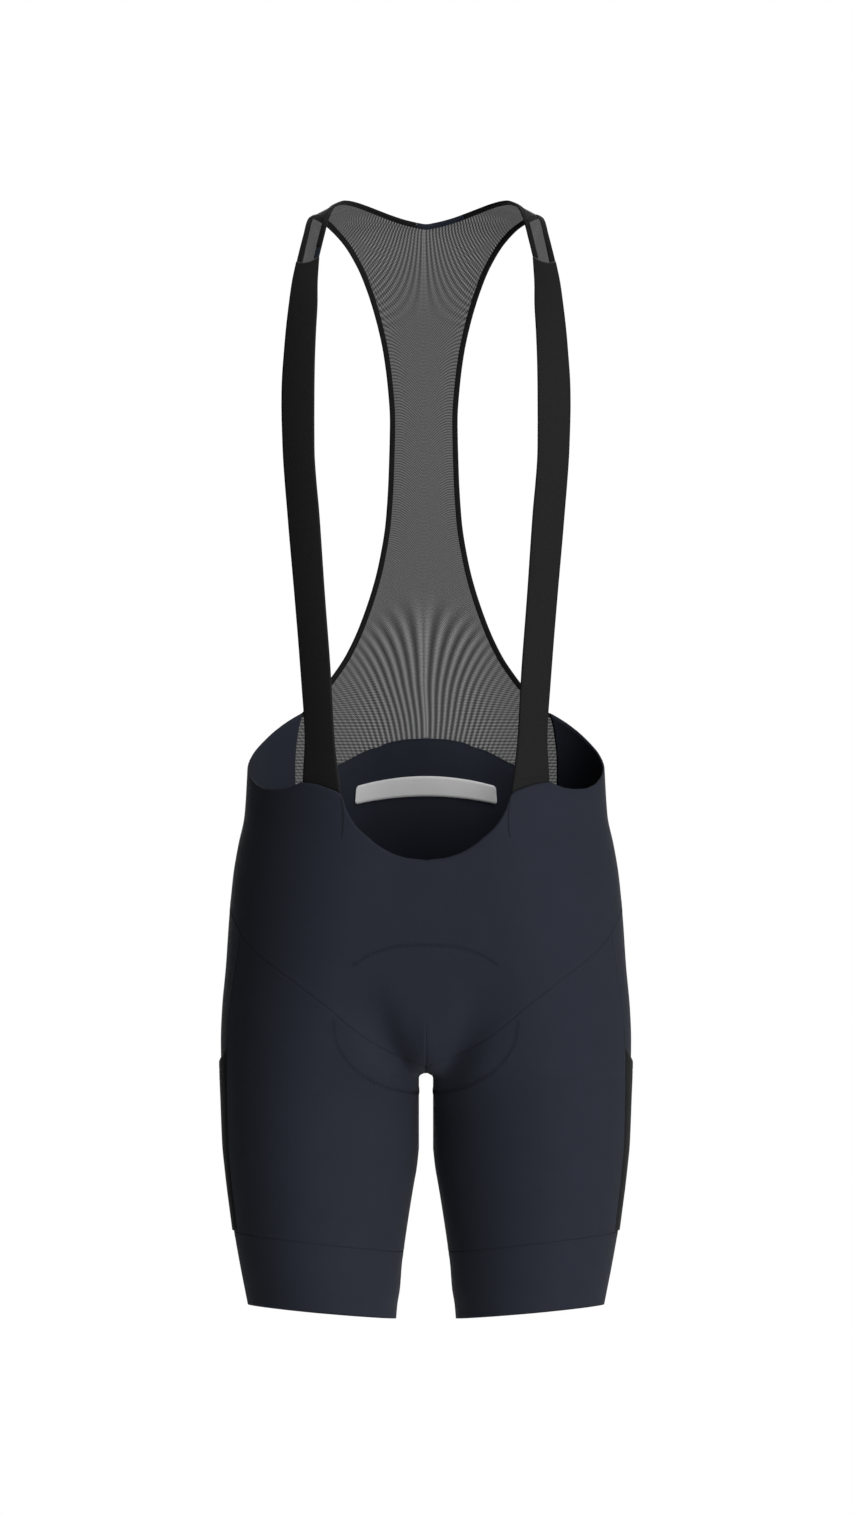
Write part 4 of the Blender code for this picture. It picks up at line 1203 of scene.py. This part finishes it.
def thread(points, normals, pitch, swing, radius):
    """The grid of a sewn thread, and its flat coordinates. Swing is how far a zigzag goes to each side."""
    s = run_length(points)
    count = STITCH_POINTS * max(1, round(s[-1] / pitch))
    at = np.linspace(0, s[-1], count + 1)
    both = np.hstack([points, normals])
    both = np.column_stack([np.interp(at, s, both[:, k]) for k in range(6)])
    place, normal = both[:, :3], unit(both[:, 3:])
    along = unit(np.gradient(place, axis=0))
    turn = np.arange(count + 1) / STITCH_POINTS * math.pi
    swings = np.arcsin(np.cos(2 * turn)) * 2 / math.pi if swing else 0 * turn
    hole = np.abs(np.cos(2 * turn if swing else turn)) ** 6
    centre = place + np.cross(normal, along) * (swings * swing)[:, None]
    centre = centre + normal * (radius * (0.8 - 1.9 * hole))[:, None]
    ahead = unit(np.gradient(centre, axis=0))
    aside = unit(np.cross(normal, ahead))
    above = np.cross(ahead, aside)
    ring = np.linspace(0, 2 * math.pi, YARN_ROUND + 1)[:, None, None]
    tube = centre + (aside * np.cos(ring) + above * np.sin(ring)) * radius
    return tube, np.stack(np.broadcast_arrays(ring[..., 0] * radius, at[None, :], 0.0), axis=-1)


def sewn(bm, beta, z, pitch, swing, radius, lift=0.0, sides=(1, -1)):
    """Threads on both halves of the body along a line of places on it."""
    beta, z = np.broadcast_arrays(beta, z)
    normals = outward(beta, z)
    points = body(beta, z) + normals * np.reshape(lift, (-1, 1))
    for side in sides:
        flip = np.array([side, 1, 1])
        lay(bm, *thread(points * flip, normals * flip, pitch, swing, radius))


def along_curve(places, count=120):
    """Even steps along a curve that is given as a table of beta and z."""
    rows = np.column_stack([run_length(body(places[:, 0], places[:, 1])), places])
    at = np.linspace(0, rows[-1, 0], count)
    return smooth(rows, 1, at), smooth(rows, 2, at)


print("a thread has", YARN_ROUND * STITCH_POINTS, "faces a stitch")


# %% Flat seams
ZIGZAG = (0.0019, 0.00075, 0.00007)  # pitch, swing and thread radius of a flat seam
share = np.linspace(0, 1, 240)
bm = bmesh.new()
beta = 1.5 + 357.0 * share
sewn(bm, beta, yoke(beta), *ZIGZAG)
sewn(bm, 360 * share, band_top(360 * share), *ZIGZAG)
low, high = float(yoke(SIDE_SEAM)), float(top_edge(SIDE_SEAM))
sewn(bm, SIDE_SEAM, low + (high - 0.001 - low) * share, *ZIGZAG)
for outseam in (front_outseam, back_outseam):
    ends = [float(e(outseam(np.array(-0.7)))) for e in (band_top, yoke)]
    z = ends[0] + (ends[1] - ends[0]) * share
    sewn(bm, outseam(z), z, *ZIGZAG)
seam_threads = hang("flat_seam_threads", bm, navy_thread)

# %% Pad stitches
PAD_ZIGZAG = (0.0038, 0.00175, 0.00012)
PAD_LIFT = 0.00018  # the pad's edge pushes its stitches out
PAD_BACK = 0.022  # how much higher the pad reaches behind
PAD_TOP = table(
    (0.5, -0.5953), (7.2, -0.5953), (44.6, -0.5958), (63.6, -0.5993), (74.8, -0.6041), (84.7, -0.6121),
)
PAD_LOW = table(
    (88.8, -0.6552), (85.5, -0.67), (77, -0.687), (65.8, -0.7001), (50, -0.7107), (33.5, -0.716),
    (13.8, -0.7187), (0.5, -0.7193),
)
bm = bmesh.new()
for arc, higher in ((PAD_TOP, PAD_BACK), (PAD_LOW, 0.0)):
    beta, z = along_curve(arc)
    sewn(bm, beta, z, *PAD_ZIGZAG, PAD_LIFT)
    sewn(bm, 360 - beta, z + higher, *PAD_ZIGZAG, PAD_LIFT)
pad_threads = hang("pad_threads", bm, dark_thread)

# %% Hems of the pockets and the seam under each strap
STRAIGHT = (0.0024, 0.0, 0.00010)
STRONG = (0.0024, 0.0, 0.00022)
STRONG_LIFT = 0.00025
HEM_DOWN = 0.0082  # from the mouth of the pocket
UNDER_STRAP = table((104.2, -0.4781), (103.1, -0.4861), (102.4, -0.4948), (102.0, -0.5028), (101.9, -0.5096))
beta = np.linspace(158.5, 221.5, 120)
z = pocket_mouth(beta) - HEM_DOWN
for side, hand in SIDES:
    bm = bmesh.new()
    sewn(bm, beta, z, *STRAIGHT, pocket_stand(beta, z), (side,))
    legs["pocket thread", side] = hang(f"pocket_hem_thread_{hand}", bm, black_thread)

bm = bmesh.new()
beta, z = along_curve(UNDER_STRAP, 30)
sewn(bm, beta, z, *STRONG, STRONG_LIFT)
strap_seam = hang("under_strap_threads", bm, dark_thread)

# %% Seams of the straps and the net
strap_normals = unit(np.cross(np.gradient(strap_points, axis=0), np.gradient(strap_points, axis=1)))
BAR = (0.0017, 0.0009, 0.00011)


def bars(name, rows, material):
    """Zigzags across both straps."""
    bm = bmesh.new()
    for row in rows:
        for side, _ in SIDES:
            flip = np.array([side, 1, 1])
            path, normal = strap_points[1:-1, row], strap_normals[1:-1, row]
            lay(bm, *thread(path * flip, normal * flip, *BAR))
    return hang(name, bm, material)


foot_bars = bars("strap_foot_threads", (1, 3), black_thread)
top_bars = bars("strap_top_threads", (-1,), grey_thread)

bm = bmesh.new()
beta = np.linspace(float(ARCH[0, 0]), 359.5, 200)
lift = 2 * NET + SEAM - 0.0008
sewn(bm, beta, arch(beta) - LAP / 2, *ZIGZAG, lift)
z = np.linspace(float(ARCH[0, 1]), WAIST_ROW, 60)
sewn(bm, wing_edge(z) - LAP_TURN / 2, z, *ZIGZAG, lift)
lap_threads = hang("net_lap_threads", bm, black_thread)

# %% Stitches of the tapes
TAPE_ROW = 0.62  # where the row of stitches is, as a share of the tape's width


def tape_threads(bm, frames, flip=1):
    """A row of straight stitches on each face of a tape."""
    fine, _ = flowing(frames, STRAIGHT[0], run_length(frames[:, 0]))
    p, into, normal = fine[:, 0], unit(fine[:, 1]), unit(fine[:, 2])
    mirror = np.array([flip, 1, 1])
    for face in (1, -1):
        path = p + into * TAPE_WIDTH * TAPE_ROW + normal * (face * BINDING * 0.49 - NET / 2)
        lay(bm, *thread(swayed(path * mirror), normal * face * mirror, *STRAIGHT))


bm = bmesh.new()
for side, _ in SIDES:
    tape_threads(bm, ARM_FRAMES[1:-1], side)
tape_threads(bm, NECK_PATH[1:-1])
edge_threads = hang("tape_threads", bm, black_thread)

# %% [markdown]
# ## The cut of each panel
#
# Knit is cut smaller than the body it is worn on. Shorts like these are about a quarter slimmer when they
# lie flat and only a little shorter, and the elastic of the straps is a third shorter. So the flat size of
# a panel is its size on the body divided by these stretches: its widest girth across, and its tallest
# length along.

# %% Flat sizes
KNIT_STRETCH = (1.24, 1.06)  # across and along the body
NET_STRETCH = (1.10, 1.04)
ELASTIC_STRETCH = (1.0, 1.30)


def cut(piece, wide, tall, stretch=KNIT_STRETCH):
    """Prints the flat size that a sheet of cloth had before it was stretched to its worn size, and how much
    of that it fills.
    """
    across, along = stretch
    area = sum(p.area for p in piece.data.polygons) / (across * along)
    share = area / (wide / across * tall / along)
    print(f"{piece.name}: cut from {wide / across:.3f} x {tall / along:.3f} m, {share:.0%} of it")


def round_body(start, end, z):
    """A worn width, measured round the body between two betas at one level."""
    return float(girth(end, z) - girth(start, z))


# each sheet's worn width and height
widest, thigh = -0.600, -0.700
cut(front_of_body, 2 * round_body(0, SIDE_SEAM, widest), 0.256)
cut(seat, 2 * round_body(SIDE_SEAM, 360, widest), 0.298)
cut(net_back, 2 * round_body(ARCH[0, 0], 360, -0.47), 0.590, NET_STRETCH)
around = round_body(0, 360, thigh)
outside = round_body(front_outseam(thigh), back_outseam(thigh), thigh)
for side, _ in SIDES:
    cut(legs["leg", side], around - outside, 0.262)
    cut(legs["strip", side], outside * 1.04, 0.284)
    cut(legs["band", side], round_body(0, 360, LEG_BAND[0]) * 1.01, 0.060)
    cut(legs["pocket", side], outside * 0.98, 0.160)
    cut(straps[side], 0.0270, 0.452, ELASTIC_STRETCH)

# %% [markdown]
# ## Camera, light and floor
#
# A shop shows a garment like this from straight ahead and far enough away to keep its proportions. Dark
# cloth needs large soft panels of light: small lamps would leave it flat black with a few hard glints. Here
# most of the light comes from the front right, so that one side of each leg falls into shade. The camera
# sees plain white behind it.

# %% Camera
CAMERA_AWAY = 4.0
EYE = -0.4457
TALL = 1515 * 0.82e-3  # height of what the picture takes in, at the garment
camera_data = bpy.data.cameras.new("camera")
camera_data.sensor_width = 36
camera_data.lens = camera_data.sensor_width * CAMERA_AWAY / TALL
camera_data.clip_end = 100
camera = bpy.data.objects.new("camera", camera_data)
camera.location = (0, -CAMERA_AWAY, EYE)
camera.rotation_euler = (math.radians(90), 0, 0)
bpy.context.scene.collection.objects.link(camera)
bpy.context.scene.camera = camera
print(f"a lens of {camera_data.lens:.1f} mm, {CAMERA_AWAY} m away")

# %% Light
LIGHTS = (  # name, azimuth right of the front, height, distance, width, height of the panel, watts
    ("key softbox", 40, 0.3, 5.0, 3.0, 3.2, 118),
    ("second softbox", 22, 0.3, 5.0, 3.0, 3.2, 51),
    ("top softbox", 40, 3.5, 3.0, 2.4, 2.4, 74),
    ("front top softbox", 0, 3.5, 3.0, 2.4, 2.4, 11),
    ("rim softbox", -150, 0.3, 4.0, 1.6, 2.6, 9),
    ("back softbox", 180, 0.6, 4.0, 3.0, 3.0, 80),
    ("back top softbox", 180, 3.5, 3.0, 2.4, 2.4, 20),
)
for name, azimuth, rise, away, wide, high, watts in LIGHTS:
    lamp = bpy.data.lights.new(name, "AREA")
    lamp.shape = "RECTANGLE"
    lamp.size = wide
    lamp.size_y = high
    lamp.energy = watts
    box = bpy.data.objects.new(name, lamp)
    a = math.radians(azimuth)
    box.location = (away * math.sin(a), -away * math.cos(a), EYE + rise)
    aim = Vector((0, 0, EYE)) - box.location
    box.rotation_euler = aim.to_track_quat("-Z", "Y").to_euler()
    box.visible_camera = False
    bpy.context.scene.collection.objects.link(box)

world = bpy.data.worlds.new("studio")
bpy.context.scene.world = world
world.use_nodes = True
nodes, links = world.node_tree.nodes, world.node_tree.links
ray = nodes.new("ShaderNodeLightPath")
pick = nodes.new("ShaderNodeMixShader")
links.new(ray.outputs["Is Camera Ray"], pick.inputs["Fac"])
dim, white = nodes["Background"], nodes.new("ShaderNodeBackground")
for slot, (shade, strength) in enumerate(((dim, 0.003), (white, 1.0)), 1):
    shade.inputs["Color"].default_value = (1, 1, 1, 1)
    shade.inputs["Strength"].default_value = strength
    links.new(shade.outputs["Background"], pick.inputs[slot])
links.new(pick.outputs["Shader"], nodes["World Output"].inputs["Surface"])
bpy.context.scene.view_settings.view_transform = "Standard"
print(len(LIGHTS), "panels,", sum(row[-1] for row in LIGHTS), "W")

# %% Floor
FLOOR, FLOOR_ROUND = -1.42, 2.2
paper = Finish("white floor", Roughness=0.9, Specular_IOR_Level=0.1)
paper.set("Base Color", (0.9, 0.9, 0.9, 1))
bm = bmesh.new()
bmesh.ops.create_circle(bm, cap_ends=True, segments=96, radius=FLOOR_ROUND)
bmesh.ops.translate(bm, vec=(0, 0, FLOOR), verts=bm.verts)
mesh = bpy.data.meshes.new("floor")
bm.to_mesh(mesh)
bm.free()
floor = bpy.data.objects.new("floor", mesh)
mesh.materials.append(paper.material)
bpy.context.scene.collection.objects.link(floor)
